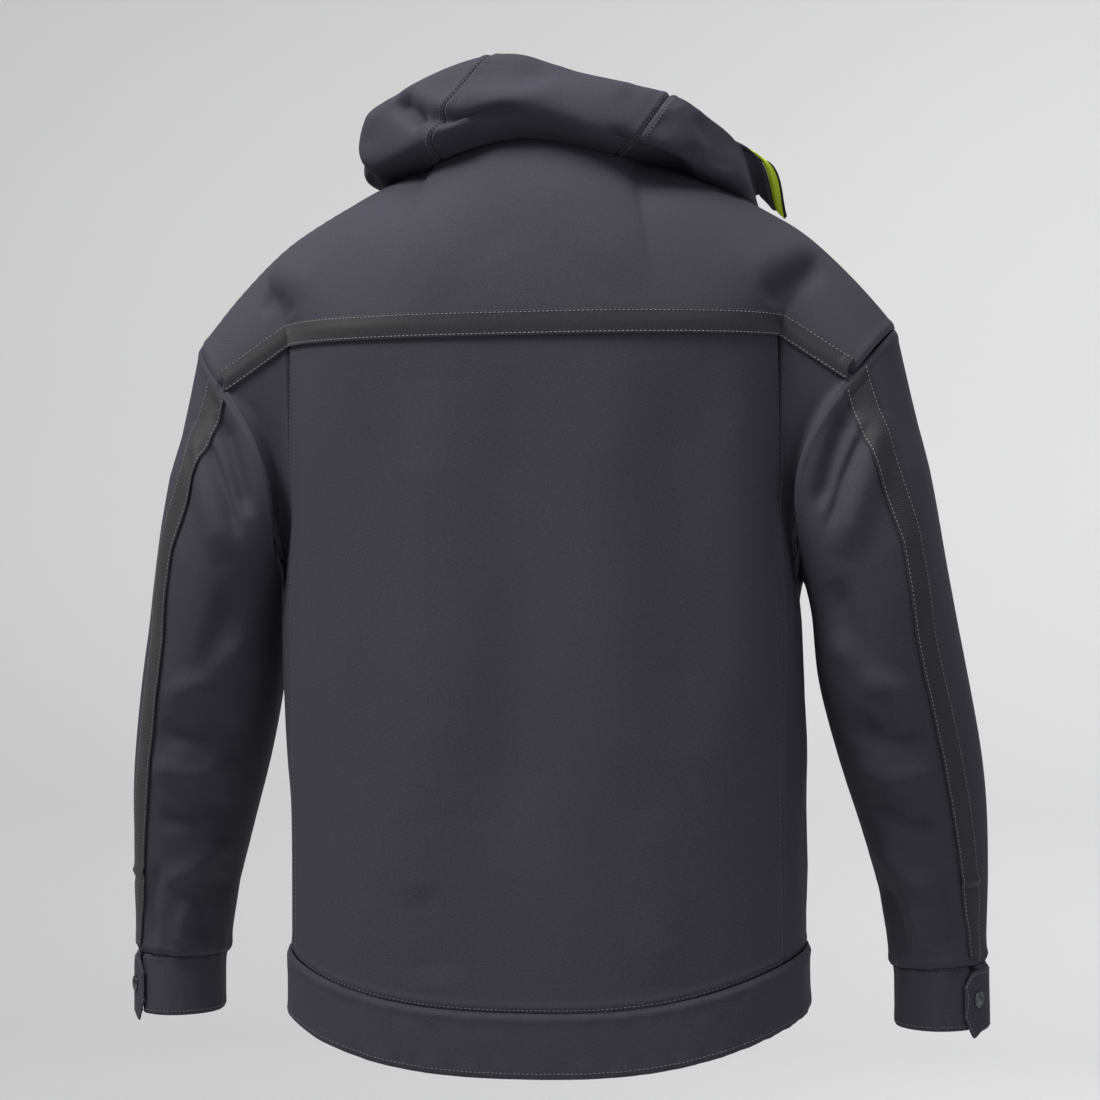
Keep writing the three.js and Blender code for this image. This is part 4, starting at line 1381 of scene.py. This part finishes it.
paper = plain("pale_paper", colour("#e2e2e2"), 0.9)
backdrop = mesh_piece("backdrop", [
    (-20000, -14000, -1900), (20000, -14000, -1900), (20000, 6500, -1900), (-20000, 6500, -1900),
    (20000, 8000, -1300), (-20000, 8000, -1300), (20000, 8600, 300), (-20000, 8600, 300),
    (20000, 8600, 16000), (-20000, 8600, 16000),
], [(0, 1, 2, 3), (3, 2, 4, 5), (5, 4, 6, 7), (7, 6, 8, 9)])
backdrop.data.materials.append(paper)

AZIMUTH, DISTANCE = math.radians(10), 2.2
TARGET = (0.004, 0.0, -0.308)
camera = bpy.data.objects.new("camera", bpy.data.cameras.new("camera"))
bpy.context.scene.collection.objects.link(camera)
camera.data.lens = 90
camera.data.sensor_width = 36
camera.location = (
    TARGET[0] + DISTANCE * math.sin(AZIMUTH),
    TARGET[1] - DISTANCE * math.cos(AZIMUTH),
    TARGET[2],
)
camera.rotation_mode = "XYZ"
camera.rotation_euler = (math.radians(90), math.radians(0.5), AZIMUTH)
bpy.context.scene.camera = camera


def softbox(name, place, aim, size, power, tint="#ffffff"):
    light = bpy.data.objects.new(name, bpy.data.lights.new(name, "AREA"))
    bpy.context.scene.collection.objects.link(light)
    light.data.shape = "RECTANGLE"
    light.data.size, light.data.size_y = size
    light.data.energy = power
    light.visible_camera = False
    light.data.color = colour(tint)[:3]
    way = np.array(aim) - np.array(place)
    flat = math.hypot(way[0], way[1])
    light.location = place
    light.rotation_euler = (math.atan2(flat, -way[2]), 0, math.atan2(-way[0], way[1]))


softbox("key", (-1.3, -1.2, 2.2), (0, 0, -0.15), (1.3, 1.0), 92)
softbox("top", (0.4, -0.5, 2.3), (0, 0, -0.1), (1.2, 0.9), 30)
softbox("fill", (2.0, -1.9, 0.1), (0, 0, -0.35), (1.8, 1.8), 9, "#e6ecff")
softbox("paper_right", (1.6, 4.0, 1.2), (0.7, 8.6, 0.6), (3, 3), 125)
softbox("paper_left", (-4.2, 4.0, 1.4), (-3.4, 8.6, 0.8), (3, 3), 72)
world = bpy.data.worlds.new("studio")
bpy.context.scene.world = world
world.use_nodes = True
world.node_tree.nodes["Background"].inputs["Color"].default_value = colour("#e6e6e8")
world.node_tree.nodes["Background"].inputs["Strength"].default_value = 0.34
bpy.context.scene.view_settings.view_transform = "Standard"
